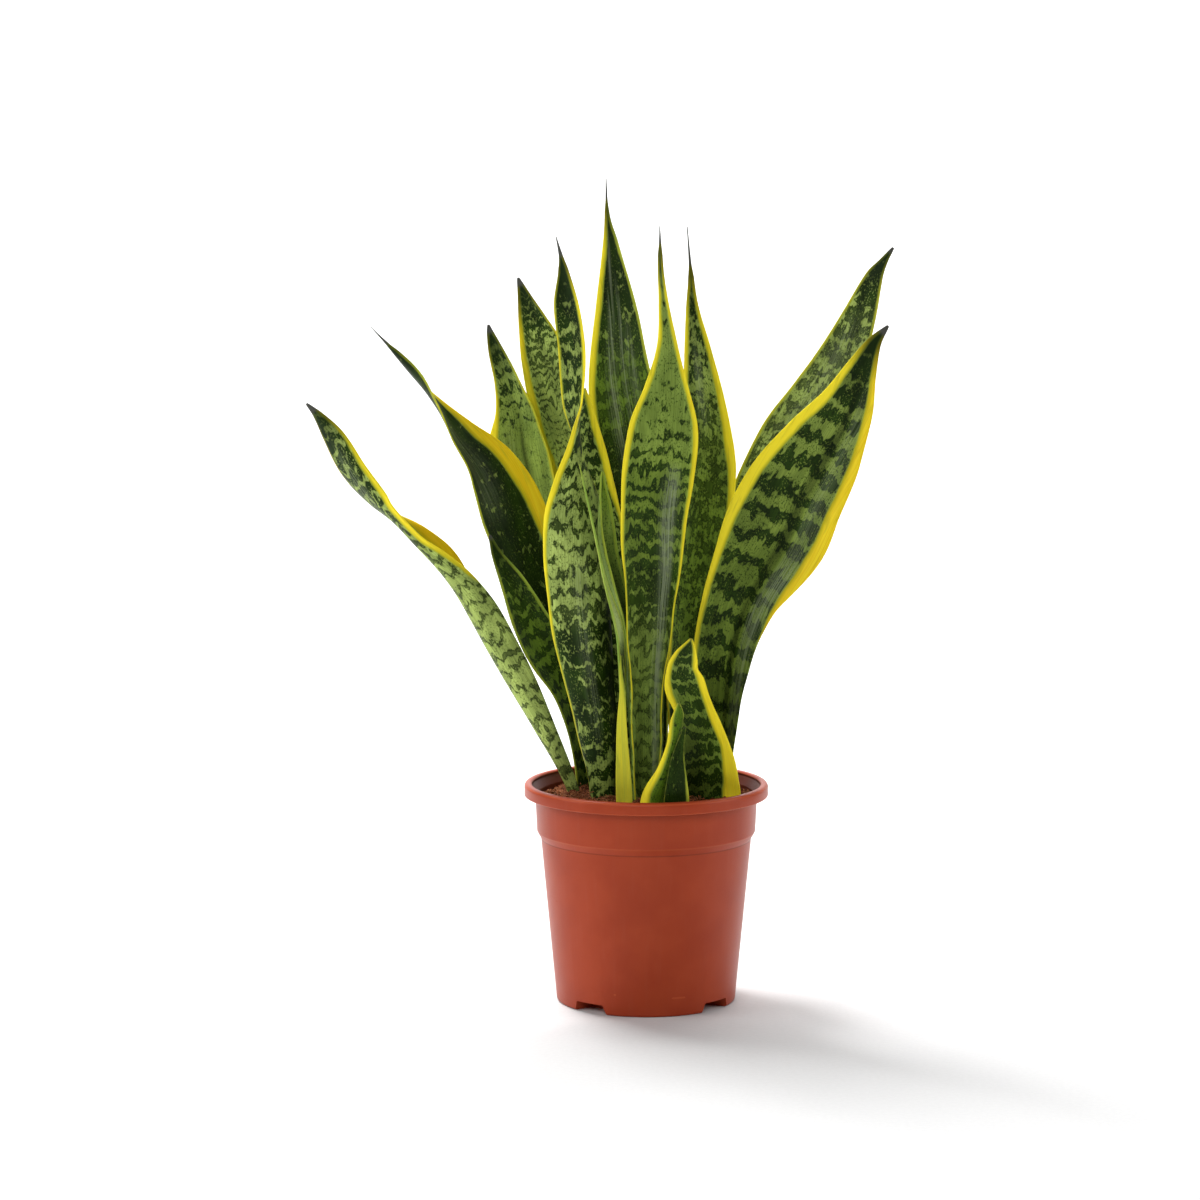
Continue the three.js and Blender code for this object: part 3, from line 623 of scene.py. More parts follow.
def leaf_pattern():
    """Node group: the leaf's colour, roughness and relief from what is painted on its mesh."""
    tree = bpy.data.node_groups.new("leaf pattern", "ShaderNodeTree")
    for label, kind in (("Colour", "Color"), ("Roughness", "Float"), ("Height", "Float")):
        tree.interface.new_socket(label, in_out="OUTPUT", socket_type="NodeSocket" + kind)
    across, along, bars = read_vector(tree, "blade_place")
    left_gap, right_gap, period = read_vector(tree, "margin_gap")
    pale, olive, sheen = read_vector(tree, "paint")
    fresh, dark_tone_and_shade, gold = read_vector(tree, "tone")
    brown, zigzag, dark_tip = read_vector(tree, "tip_paint")

    def grain(width, length, detail=2.0, shift=0.0, roughness=0.5):
        """Noise with cells so many mm wide and long on the blade."""
        place = add(tree, "ShaderNodeCombineXYZ", {
            0: times(tree, across, 1 / width),
            1: times(tree, along, 1 / length), 2: shift}).outputs[0]
        return noise_value(tree, place, 1.0, detail, roughness)

    def shifted(value, amount, start):
        centred = math_node(tree, "SUBTRACT", value, 0.5)
        return times_plus(tree, centred, amount, start)

    def masked(value, share):
        return times(tree, value, share, clamp=True)

    # Cross bands: a wave along the leaf, bent into columns and by noise of three sizes, mixed with
    # finer blotches where the bars are weak. The paler the paint, the wider the bright bands.
    columns = times_plus(tree, grain(11, 16, 1.0, 1.7), 16.0, across)
    columns = math_node(tree, "COSINE", times(tree, columns, 0.68))
    columns = times(tree, columns, zigzag)
    lines = times_plus(tree, columns, 2.2, along)
    lines = shifted(grain(22, 30), 24.0, lines)
    lines = shifted(grain(4.6, 14, 1.0, 3.3), 15.0, lines)
    lines = shifted(grain(1.4, 9, 1.0, 6.1), 5.0, lines)
    phase = math_node(tree, "DIVIDE", lines, period)
    wave = math_node(tree, "COSINE", times(tree, phase, 2 * math.pi))
    fine = shifted(grain(2.6, 4.2, 2.0, 9.2), 4.2, 0.0)
    broad = shifted(grain(7, 10, 1.0, 11.7), 2.4, 0.0)
    fine = math_node(tree, "ADD", fine, times(tree, broad, 0.7))
    value = times(tree, bars, wave)
    value = times_plus(tree, math_node(tree, "SUBTRACT", 1.0, bars), fine, value)
    value = times_plus(tree, broad, 0.42, value)
    level = times_plus(tree, pale, -2.0, 1.0)
    value = math_node(tree, "SUBTRACT", value, level)
    light = smooth_step(tree, value, -0.24, 0.24)
    # Pale dots in the dark bands and dark dots in the bright ones, and a dark line round each band.
    dots = grain(0.9, 1.7, 1.0, 17.9)
    dot_field = smooth_step(tree, grain(7, 11, 1.0, 19.0), 0.36, 0.50)
    pale_dots = masked(smooth_step(tree, dots, 0.57, 0.66), times(tree, dot_field, 0.65))
    pale_dots = masked(pale_dots, smooth_step(tree, pale, 0.02, 0.30))
    dark_dots = masked(smooth_step(tree, dots, 0.45, 0.36), times(tree, dot_field, 0.75))
    light = math_node(tree, "MAXIMUM", light, pale_dots)
    light = math_node(tree, "SUBTRACT", light, masked(dark_dots, light), clamp=True)
    dark_line = smooth_step(tree, math_node(tree, "ABSOLUTE", math_node(tree, "ADD", value, 0.24)),
                            0.22, 0.05)

    # The greens of both kinds of band, then haze, painted shade, painted sheen and a darkening that
    # is
    #     # partly painted shade, all along fine ribs.
    ribs = grain(0.55, 46, 2.0, 21.3)
    cloud = grain(9, 30, 2.0, 25.1)
    dark = mix_colour(tree, smooth_step(tree, cloud, 0.35, 0.65), DARK_GREEN, DEEP_GREEN)
    dark = mix_colour(tree, masked(fresh, 0.65), dark, YOUNG_DARK_GREEN)
    bright = mix_colour(tree, olive, GREY_GREEN, OLIVE_GREEN)
    bright = mix_colour(tree, fresh, bright, FRESH_GREEN)
    bright = mix_colour(tree, times(tree, smooth_step(tree, cloud, 0.62, 0.38), 0.35),
                        bright, DEEP_GREEN)
    haze = times(tree, dark_tone_and_shade, -1.0, clamp=True)
    dark = mix_colour(tree, haze, dark, bright)
    dark = mix_colour(tree, masked(dark_line, 0.6), dark, BLACK_GREEN)
    colour = mix_colour(tree, light, dark, bright)
    # Streaks paint shade below zero, and above it sheen, a grey reflection along the ribs.
    shade = times(tree, sheen, -1.0, clamp=True)
    colour = mix_colour(tree, times(tree, shade, 0.85), colour, BLACK_GREEN)
    painted_sheen = times(tree, sheen, smooth_step(tree, ribs, 0.30, 0.62), clamp=True)
    colour = mix_colour(tree, times(tree, painted_sheen, 0.75, clamp=True), colour, SHEEN_GREY)
    rib_shade = times(tree, smooth_step(tree, ribs, 0.58, 0.36), 0.30)
    colour = mix_colour(tree, rib_shade, colour, DARK_GREEN)
    # Darkening: painted shade low among the crowded leaves, and the dark tone of dark blades and
    # tips.
    colour = mix_colour(tree, masked(dark_tone_and_shade, 0.85), colour, BLACK_GREEN)

    # The yellow margins: a wandering border with a pale line inside it, lemon to gold or lime.
    wander = shifted(grain(60, 22, 2.0, 31.9), 1.5, 0.0)
    wander = shifted(grain(0.9, 6, 1.0, 33.3), 0.7, wander)
    nearest = math_node(tree, "MINIMUM", left_gap, right_gap)
    gap = math_node(tree, "ADD", nearest, wander)
    yellow = smooth_step(tree, gap, 0.30, -0.30)
    line = times(tree, smooth_step(tree, gap, 1.3, 0.35), 0.55)
    line = times(tree, line, smooth_step(tree, gold, 1.6, 0.2))
    colour = mix_colour(tree, line, colour, PALE_LINE)
    stripes = grain(0.7, 60, 2.0, 37.7)
    gilt = times_plus(tree, shifted(stripes, 1.6, 0.0), 0.6, gold)
    gilding = mix_colour(tree, smooth_step(tree, gilt, 0.0, 1.0), LEMON, GOLD)
    tint = times(tree, smooth_step(tree, grain(3, 24, 2.0, 41.1), 0.56, 0.72), 0.35)
    gilding = mix_colour(tree, tint, gilding, MARGIN_STAIN)
    lime = times_plus(tree, shifted(stripes, 1.6, 0.0), 0.4, times(tree, gold, -1.0), clamp=True)
    depth = times_plus(tree, times(tree, gold, 1.0, clamp=True), 3.5, 2.2)
    inner_edge = smooth_step(tree, math_node(tree, "DIVIDE", gap, depth), -1.0, 0.05)
    inner_edge = times(tree, inner_edge, 0.60)
    gilding = mix_colour(tree, inner_edge, gilding, MARGIN_INNER_EDGE)
    gilding = mix_colour(tree, lime, gilding, LEAF_LIME)
    colour = mix_colour(tree, yellow, colour, gilding)

    # The darker end, the dry awl, and the surface's roughness and relief.
    colour = mix_colour(tree, times(tree, dark_tip, 0.8), colour, DARK_GREEN)
    colour = mix_colour(tree, brown, colour, AWL_BROWN)
    rough = times_plus(tree, light, 0.12, 0.30)
    rough = times_plus(tree, ribs, 0.16, rough)
    rough = times_plus(tree, brown, 0.25, rough)
    height = times_plus(tree, cloud, 1.4, ribs)
    height = times_plus(tree, light, 0.25, height)
    sink = tree.nodes.new("NodeGroupOutput")
    for place, value in enumerate((colour, rough, height)):
        tree.links.new(value, sink.inputs[place])
    return tree


leaf_skin, tree, shader = new_material("leaf_skin")
pattern = add(tree, "ShaderNodeGroup", node_tree=leaf_pattern())
tree.links.new(pattern.outputs["Colour"], shader.inputs["Base Color"])
tree.links.new(pattern.outputs["Roughness"], shader.inputs["Roughness"])
tree.links.new(bump_normal(tree, pattern.outputs["Height"], 0.35, 0.0004), shader.inputs["Normal"])
shader.inputs["IOR"].default_value = 1.17


def row_at(rows, distance):
    """The rows' values at distances along the leaf, smooth through every row."""
    steps = np.linalg.norm(np.diff(rows[:, :3], axis=0), axis=1)
    places = np.concatenate([[0], np.cumsum(steps)])
    order = np.arange(len(rows))
    after, before = np.minimum(order + 1, len(rows) - 1), np.maximum(order - 1, 0)
    slopes = (rows[after] - rows[before]) / (places[after] - places[before])[:, None]
    i = np.clip(np.searchsorted(places, distance) - 1, 0, len(rows) - 2)
    span = (places[i + 1] - places[i])[:, None]
    t = (distance - places[i])[:, None] / span
    return (rows[i] * (2 * t**3 - 3 * t**2 + 1) + slopes[i] * span * (t**3 - 2 * t**2 + t)
            + rows[i + 1] * (3 * t**2 - 2 * t**3) + slopes[i + 1] * span * (t**3 - t**2))


def unit(vectors):
    return vectors / np.linalg.norm(vectors, axis=-1, keepdims=True)


def leaf_frames(rows, shares, length):
    """Place, values and the directions along, across and forward at shares of the leaf."""
    distance = shares * length
    nudge = length / 1000
    values = row_at(rows, distance)
    ahead = row_at(rows, np.minimum(distance + nudge, length))
    behind = row_at(rows, np.maximum(distance - nudge, 0))
    along = unit((ahead - behind)[:, :3])
    turn = np.radians(values[:, 4])
    facing = np.stack([np.cos(turn), np.sin(turn), np.zeros_like(turn)], axis=1)
    across = unit(facing - along * (facing * along).sum(axis=1, keepdims=True))
    return values, across, np.cross(across, along)


def wobble(u, distance, seed):
    return noise.noise(Vector((u * 0.9, distance / EDGE_WAVE_LENGTH, seed * 7.31)))


def leaf_section(values, across, forward, thickness, fold, seed, distance):
    """One ring round the leaf: front, right rim, back in return, left rim."""
    u = np.linspace(-1, 1, BLADE_ACROSS + 1)
    half_width = values[3] / 2
    curl = math.radians(values[5])
    place, weight = fold
    lean = (1 - weight) * u * curl + weight * curl / 2 * np.tanh((u - place) / FOLD_SHARPNESS)
    side = np.concatenate([[0], np.cumsum((np.cos(lean[1:]) + np.cos(lean[:-1])) / 2 * np.diff(u))])
    lift = np.concatenate([[0], np.cumsum((np.sin(lean[1:]) + np.sin(lean[:-1])) / 2 * np.diff(u))])
    middle = BLADE_ACROSS // 2
    side, lift = (side - side[middle]) * half_width, (lift - lift[middle]) * half_width
    size = min(1.0, half_width / EDGE_WAVE_FULL_HALF_WIDTH)
    wave = np.array([wobble(v, distance, seed) for v in u]) * np.abs(u) ** 2 * EDGE_WAVE * size
    point = values[:3] + np.outer(side, across) + np.outer(lift, forward)
    normal = np.outer(np.cos(lean), forward) - np.outer(np.sin(lean), across)
    tangent = np.outer(np.cos(lean), across) + np.outer(np.sin(lean), forward)
    point = point + normal * wave[:, None]
    edge = min(MARGIN_THICKNESS, values[3] * 0.3)
    fat = edge + (thickness - edge) * (1 - u * u)
    front, back = point + normal * fat[:, None] / 2, point - normal * fat[:, None] / 2
    rim = edge * RIM_ROUNDNESS
    right, left = point[-1] + tangent[-1] * rim, point[0] - tangent[0] * rim
    ring = np.concatenate([front, [right], back[::-1], [left]])
    return ring, np.concatenate([u, [1.0], u[::-1], [-1.0]])


def grow_leaf(name, rows, paint, awl, gold, period=13.0, bars=0.7, fold=(0.0, 0.0), zigzag=0.4,
              streaks=(), seed=0):
    """A leaf from its rows (x, y, z, flat width, turn, curl; mm and degrees) and its paint by height:
    z, yellow margin left and right in mm, and shares of pale bands, olive, fresh green and darkening.
    The darkening is painted shade low among crowded leaves and the dark tone of dark blades and tips;
    below zero it is haze, which draws the dark bands towards the bright ones. Awl is the length of
    the dry tip. Gold, left and right, goes from lemon at 0 to gold at 1, and below 0 to lime. Period
    is the bands' spacing, bars is how regular they are, and zigzag how far they bend to and fro. Fold
    is the place and weight of a sharp valley. A streak is (z low, z high, place, width, strength) of
    painted sheen, a grey reflection along the blade, or of painted shade where its strength is below
    zero."""
    rows, paint = np.array(rows, float), np.array(paint, float)
    length = np.linalg.norm(np.diff(rows[:, :3], axis=0), axis=1).sum()
    steps = math.ceil(length / BLADE_SPACING)
    shares = 1 - (1 - np.arange(steps + 1) / steps) ** TIP_CROWDING
    values, across, forward = leaf_frames(rows, shares, length)
    foot = np.clip(shares / FOOT_SHARE, 0, 1)
    blade = np.clip((shares - FOOT_SHARE) / (1 - FOOT_SHARE), 0, 1)
    fleshy = FOOT_THICKNESS + (WAIST_THICKNESS - FOOT_THICKNESS) * foot
    fleshy = fleshy + (TIP_THICKNESS - WAIST_THICKNESS) * blade
    if awl >= LONG_AWL:
        from_tip = length * (1 - shares)
        values[:, 3] *= np.interp(from_tip, [0, awl, awl + AWL_SHOULDER], AWL_WIDTH_SHARES)
    thickness = np.minimum(fleshy, np.maximum(values[:, 3] * 0.4, 0.4))
    columns = [np.interp(values[:, 2], paint[:, 0], paint[:, c]) for c in range(1, 7)]
    left, right, pale, olive, fresh, dark_tone_and_shade = np.array(columns)
    points = []
    painted = {key: [] for key in ("blade_place", "margin_gap", "paint", "tone", "tip_paint")}
    for k in range(steps + 1):
        distance = shares[k] * length
        ring, u = leaf_section(values[k], across[k], forward[k], thickness[k], fold, seed, distance)
        points.append(ring)
        half = values[k, 3] / 2
        sheen = np.zeros_like(u)
        for low, high, place, width, strength in streaks:
            ends = np.clip(min(values[k, 2] - low, high - values[k, 2]) / STREAK_FADE, 0, 1)
            sheen += strength * ends * np.exp(-((u - place) / width) ** 2)
        whole = np.ones_like(u)
        to_tip = length - distance
        brown = np.clip((awl - to_tip) / AWL_BLEND + 0.5, 0, 1)
        dark_tip = np.clip((awl + DARK_TIP_REACH - to_tip) / DARK_TIP_BLEND, 0, 1) * (awl > 0)
        gilt = np.where(u < 0, gold[0], gold[1])
        along_blade = (distance + seed * PATTERN_SHIFT_ALONG) * whole
        place = [u * half + seed * PATTERN_SHIFT_ACROSS, along_blade, bars * whole]
        painted["blade_place"].append(np.stack(place, 1))
        gaps = [(1 + u) * half - left[k], (1 - u) * half - right[k], period * whole]
        painted["margin_gap"].append(np.stack(gaps, 1))
        painted["paint"].append(np.stack([pale[k] * whole, olive[k] * whole, sheen], 1))
        painted["tone"].append(np.stack([fresh[k] * whole, dark_tone_and_shade[k] * whole, gilt], 1))
        painted["tip_paint"].append(np.outer(whole, [brown, zigzag, dark_tip]))
    count = len(points[0])
    half_count = count // 2
    faces = []
    for k in range(steps):
        low, high = k * count, (k + 1) * count
        for j in range(count):
            after = (j + 1) % count
            faces.append((low + j, low + after, high + after, high + j))
    for start, order in ((0, -1), (steps * count, 1)):
        for j in range(half_count - 1):
            quad = (start + j, start + j + 1, start + count - 3 - j, start + count - 2 - j)
            faces.append(quad[::order])
        faces.append((start + half_count - 2, start + half_count - 1, start + half_count)[::order])
        faces.append((start + count - 1, start, start + count - 2)[::order])
    mesh = bpy.data.meshes.new(name)
    mesh.from_pydata([tuple(p * MM) for p in np.concatenate(points)], [], faces)
    for key, values_at in painted.items():
        attribute = mesh.attributes.new(key, "FLOAT_VECTOR", "POINT")
        attribute.data.foreach_set("vector", np.concatenate(values_at).astype(np.float32).ravel())
    point_outwards(mesh)
    mesh.materials.append(leaf_skin)
    leaf = new_object(name + "_blade", mesh)
    shade_smooth(leaf)
    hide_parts(name)
    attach(leaf, "root")


grow_leaf("leaf_far_left", [
    [-44, 3, 120, 13, 128, 100], [-55.5, 2, 155, 14, 128, 98], [-74, 0, 189, 26, 130, 90],
    [-98, -3, 231, 39, 130, 86], [-119, -5, 268, 44, 124, 92], [-133.5, -6, 291, 43, 104, 104],
    [-146.5, -7, 308, 40, 83, 100], [-159.5, -7, 322, 35, 79, 74], [-173, -8, 336, 31, 98, 46],
    [-187, -8, 349, 30, 128, 37], [-203, -8, 371, 24, 146, 30], [-216, -8, 395, 18, 152, 25],
    [-226, -8, 410, 8, 155, 25], [-234, -9, 419, 1.5, 155, 25],
], paint=[
    (120, -2, -2, 0.64, 0.15, 0.05, -0.2), (170, -2, -2, 0.64, 0.15, 0.05, -0.3),
    (276, -2, -2, 0.66, 0.15, 0.08, -0.3), (284, -1, 2, 0.66, 0.15, 0.08, -0.3),
    (292, 2, 8, 0.62, 0.15, 0.1, -0.29), (320, 3.2, 8, 0.4, 0.2, 0.1, -0.15),
    (334, 4.3, 3, 0.32, 0.2, 0.1, -0.065), (345, 4.2, 1.5, 0.3, 0.2, 0.1, 0.013),
    (372, 3, 1, 0.3, 0.15, 0.1, 0.13), (395, 1.6, 1, 0.3, 0.1, 0.1, 0.2),
    (419, 0.8, 0.8, 0.3, 0.1, 0.1, 0.4),
], awl=8, gold=(0.2, 0.85), period=13.5, bars=0.62, seed=1, zigzag=1.0,
    streaks=[(320, 405, 0.05, 0.3, 0.6)])

# ---- Leaf with the golden margin, left ----
# A broad leaf at the back left, nearly black-green, with a wide golden margin on its right side;
# above that the blade bends to the left and turns edge-on before its awl.
grow_leaf("leaf_left_gold", [
    [-38, 46, 120, 24, 20, 105], [-40, 45, 155, 27, 20, 85], [-46, 45, 195, 30, 20, 62],
    [-63, 43, 241, 39, 22, 45], [-94, 41, 332, 53, 27, 35], [-110, 39, 367, 45, 34, 35],
    [-131, 36, 393, 31, 52, 35], [-147, 34, 415, 20, 82, 32], [-161, 33, 434, 17, 118, 30],
    [-178, 34, 454, 6, 130, 30], [-192, 34, 469, 1.5, 130, 30],
], paint=[
    (120, 0.5, 2.5, 0.1, 0.4, 0.2, 0.6), (240, 0.7, 4.2, 0.12, 0.5, 0.3, 0.6),
    (300, 0.9, 7.8, 0.15, 0.6, 0.3, 0.5), (335, 1, 11.5, 0.15, 0.5, 0.2, 0.45),
    (360, 1, 11.5, 0.12, 0.4, 0.1, 0.45), (385, 1, 8.4, 0.12, 0.3, 0.1, 0.45),
    (400, 0.9, 4.8, 0.1, 0.3, 0.1, 0.4), (425, 0.8, 2.3, 0.1, 0.3, 0.1, 0.35),
    (469, 0.7, 0.7, 0.05, 0.3, 0.1, 0.4),
], awl=17, gold=(-0.35, 0.62), period=14, bars=0.3, seed=2,
    streaks=[(330, 430, -0.5, 0.4, 0.5)])

# ---- Dark leaf, left ----
# A shorter leaf in front of the golden one: dark, with olive bands low down and thin yellow-green
# edges.
grow_leaf("leaf_left_dark", [
    [-42, 26, 120, 22, 15, 100], [-43, 27, 161, 24, 15, 75], [-50, 27, 206, 30, 15, 52],
    [-75, 23, 250, 31, 15, 40], [-93, 19, 290, 19, 15, 32], [-104, 17, 311, 8, 15, 28],
    [-109, 16, 325, 1.5, 15, 28],
], paint=[
    (120, 0.3, 0.2, 0.25, 0.6, 0.4, 0.55), (170, 0.5, 0.3, 0.4, 0.8, 0.5, 0.3),
    (215, 0.8, 0.5, 0.5, 0.9, 0.6, 0.2), (260, 0.9, 0.7, 0.46, 0.9, 0.6, 0.2),
    (300, 0.8, 0.9, 0.2, 0.6, 0.5, 0.3), (325, 0.5, 0.5, 0.2, 0.4, 0.4, 0.2),
], awl=3, gold=(-0.6, -0.8), period=13, bars=0.6, seed=3)

# ---- Tall leaf, front left ----
# The tall leaf left of the middle. Its lower half shows its outer, convex face; it turns about its
# midrib at two thirds of its height and ends in a narrow, dark blade with a long awl.
grow_leaf("leaf_front_left", [
    [-29, -22, 120, 24, 195, 110], [-29, -24, 156, 27, 195, 85], [-32, -28, 190, 33, 195, 66],
    [-38, -33, 232, 41, 195, 52], [-43, -36, 269, 47, 195, 44], [-46, -38, 310, 49, 198, 40],
    [-47, -38, 340, 48, 205, 36], [-46, -38, 363, 44, 225, 35], [-46, -36, 386, 36, 250, 35],
    [-47, -34, 405, 30, 275, 35], [-48, -32, 424, 26, 305, 33], [-50, -31, 461, 23, 325, 30],
    [-54, -32, 489, 20, 330, 25], [-57, -33, 514, 7, 330, 25], [-62, -34, 535, 1.5, 330, 25],
], paint=[
    (120, -1, 0.4, 0.43, 0.4, 0.1, 0.1), (155, -1, 0.5, 0.48, 0.4, 0.1, 0.1),
    (185, -1, 0.7, 0.38, 0.3, 0.1, 0.1), (225, -1, 0.9, 0.15, 0.2, 0.1, 0.15),
    (250, -1, 1.1, 0.27, 0.15, 0.1, 0.1), (278, -1, 1.6, 0.4, 0.1, 0.1, -0.1),
    (298, -1, 1.9, 0.66, 0.05, 0.1, -0.1), (325, -1, 2.3, 0.66, 0.05, 0.1, -0.1),
    (345, -1, 3.1, 0.64, 0.1, 0.1, -0.1), (370, 0.4, 4.2, 0.6, 0.1, 0.1, -0.05),
    (392, 0.8, 5, 0.5, 0.2, 0.1, 0.123), (405, 0.8, 4.4, 0.42, 0.3, 0.1, 0.2),
    (430, 0.8, 3.4, 0.42, 0.3, 0.1, 0.2), (460, 0.6, 2.8, 0.42, 0.3, 0.1, 0.25),
    (500, 0.5, 1.7, 0.1, 0.2, 0.1, 0.5), (535, 0.3, 0.4, 0.05, 0.2, 0.1, 0.6),
], awl=14, gold=(0.1, 0.05), period=14.5, bars=0.6, seed=4, zigzag=1.0,
    streaks=[(180, 330, 0.05, 0.2, 0.35), (90, 420, -1.0, 0.34, -0.95), (90, 290, -0.6, 0.3, -0.4)])

# ---- Broad leaf, front centre ----
# The broad leaf in the middle of the front: deeply channelled below, flat above, and drawn out
# into a long neck. Its upper part is plain green, its middle barred and its right side folded.
grow_leaf("leaf_front_centre", [
    [0, -20, 120, 42, 0, 140], [-1, -22, 156, 45, 0, 138], [-1, -25, 195, 48, 0, 132],
    [-1, -26, 230, 50, 0, 124], [1, -29, 272, 51, 0, 106], [3, -33, 302, 50, 0, 82],
    [4, -40, 342, 49, 0, 50], [7, -45, 374, 51, 0, 32], [11, -48, 408, 47, 0, 25],
    [13, -51, 434, 30, -5, 25], [13.5, -53, 463, 14, -12, 28], [11, -55, 492, 7, -25, 30],
    [9, -56, 514, 4.5, -40, 30], [8, -58, 543, 1.5, -40, 30],
], paint=[
    (120, -0.1, 0, 0.45, 0.4, 0.6, 0.1), (155, 0, 0.1, 0.55, 0.3, 0.55, -0.294),
    (195, 0.1, 0.2, 0.62, 0.3, 0.5, -0.394), (240, 0.2, 0.3, 0.62, 0.3, 0.45, -0.45),
    (272, 0.545, 0.618, 0.4, 0.455, 0.282, -0.1), (284, 0.7, 0.8, 0.2, 0.6, 0.35, -0.057),
    (305, 1.031, 1.031, 0.25, 0.8, 0.35, -0.013), (316, 1.4, 1.3, 0.44, 0.9, 0.3, -0.013),
    (345, 2.1, 1.9, 0.48, 0.9, 0.3, 0), (372, 3, 2.4, 0.5, 0.9, 0.3, 0.013),
    (395, 3.7, 2.8, 0.66, 0.65, 0.35, -0.06), (410, 3.7, 2.9, 0.82, 0.6, 0.4, -0.055),
    (440, 3.2, 2.5, 0.94, 0.55, 0.4, -0.043), (463, 2.5, 2.1, 0.92, 0.5, 0.4, 0.1),
    (490, 1.5, 1.3, 0.81, 0.45, 0.4, 0.35), (543, 0.6, 0.6, 0.36, 0.35, 0.4, 0.55),
], awl=12, gold=(0.0, 0.2), period=11.5, bars=0.6, seed=5, zigzag=0.0, fold=(0.32, 0.35),
    streaks=[(150, 385, 0.42, 0.17, 1.5), (90, 300, 0.95, 0.25, -0.6)])

# ---- Leaf right of centre ----
# A narrow leaf behind the broad one: dark, with olive patches low down, yellow margins and the
# longest, thinnest neck of all.
grow_leaf("leaf_centre_right", [
    [27, 13, 120, 24, 10, 105], [27, 13, 155, 27, 10, 80], [27, 13.4, 195, 33.5, 10, 65],
    [30, 14, 252, 36, 10, 45], [37, 15, 310, 38, 10, 35], [42, 17, 350, 38, 10, 30],
    [43, 18, 376, 38, 12, 28], [39, 20, 419, 30, 12, 25], [35, 21, 454, 19, 12, 25],
    [31.5, 21, 483, 9, 12, 25], [30.5, 21, 506, 3.5, 12, 25], [28, 22, 539, 1.5, 12, 25],
], paint=[
    (120, 0.7, 0.8, 0.2, 0.8, 0.4, 0.4), (200, 1.6, 1.3, 0.3, 0.9, 0.5, 0.3),
    (250, 2.3, 2, 0.46, 0.9, 0.5, -0.15), (330, 2.8, 3.2, 0.46, 0.9, 0.5, -0.2),
    (355, 3.2, 4.4, 0.42, 0.8, 0.4, -0.15), (385, 3.5, 6.2, 0.46, 0.7, 0.3, -0.2),
    (430, 3.2, 4, 0.53, 0.5, 0.2, -0.025), (460, 2.4, 2.4, 0.45, 0.3, 0.1, 0.3),
    (490, 1.5, 1.5, 0.3, 0.3, 0.1, 0.5), (539, 0.5, 0.5, 0.05, 0.5, 0.3, 0.6),
], awl=27, gold=(0.15, 0.2), period=15, bars=0.2, seed=6,
    streaks=[(390, 470, -0.1, 0.25, 0.5)])

# ---- Leaf at the back left ----
# A straight leaf at the back, grey-green with fine dark cross lines and one wide yellow margin.
grow_leaf("leaf_back_left", [
    [-3, 60, 120, 24, -20, 105], [-7, 61, 155, 27, -20, 80], [-30, 67, 266, 38, -20, 40],
    [-48, 75, 361, 44, -22, 28], [-62, 79, 409, 40, -22, 25], [-72, 83, 448, 34, -22, 22],
    [-80, 84, 472, 21, -22, 22], [-86, 84, 489, 9, -22, 22], [-90, 84, 500, 1.5, -22, 22],
], paint=[
    (120, 1.3, 0.7, 0.58, 0.3, 0.1, -0.07), (330, 8, 0.6, 0.63, 0.4, 0.15, -0.17),
    (355, 8.8, 0.6, 0.68, 0.35, 0.1, -0.27), (375, 8, 0.7, 0.7, 0.35, 0.1, -0.32),
    (392, 6, 0.8, 0.7, 0.35, 0.1, -0.32), (410, 5.6, 0.9, 0.68, 0.35, 0.1, -0.27),
    (440, 4.2, 0.9, 0.53, 0.3, 0.1, -0.17), (465, 2.7, 0.8, 0.33, 0.3, 0.1, -0.02),
    (485, 1.5, 0.7, 0.18, 0.3, 0.1, 0.23), (500, 0.7, 0.5, 0.18, 0.3, 0.1, 0.23),
], awl=6, gold=(0.3, 0.3), period=6.5, bars=0.6, seed=7, zigzag=0.1)

# ---- Tallest leaf ----
# The tallest leaf, behind the middle: broad, very dark and glossy, with only a few specks.
grow_leaf("leaf_tallest", [
    [8, 38, 120, 26, -15, 105], [7, 39, 155, 30, -15, 80], [1, 46, 262, 44, -15, 42],
    [-4, 54, 360, 53, -18, 27], [-11, 57, 398, 55, -18, 22], [-16.5, 59, 430, 48, -18, 22],
    [-20, 61, 479, 31, -18, 22], [-24.5, 62, 526, 11, -18, 20], [-27, 62, 545, 3.5, -18, 20],
    [-28, 63, 571, 1.5, -18, 20],
], paint=[
    (120, 1.3, 0.6, 0.1, 0.3, 0.1, 0.6), (330, 4.2, 0.8, 0.12, 0.3, 0.15, 0.5),
    (385, 4.8, 1, 0.2, 0.6, 0.4, 0.3), (400, 4.6, 1.1, 0.4, 0.9, 0.7, -0.15),
    (440, 4.4, 1.2, 0.44, 0.9, 0.7, -0.15), (456, 4, 1.1, 0.26, 0.7, 0.4, 0.05),
    (480, 3.6, 1.1, 0.18, 0.4, 0.1, 0.4), (510, 2.8, 0.9, 0.15, 0.3, 0.1, 0.5),
    (535, 1.8, 0.8, 0.1, 0.3, 0.1, 0.6), (571, 0.5, 0.5, 0.02, 0.3, 0.1, 0.6),
], awl=15, gold=(0.05, -0.5), period=15, bars=0.4, seed=8,
    streaks=[(340, 545, -0.3, 0.12, 1.0), (340, 510, 0.1, 0.08, 0.7), (330, 480, 0.4, 0.10, 0.7)])

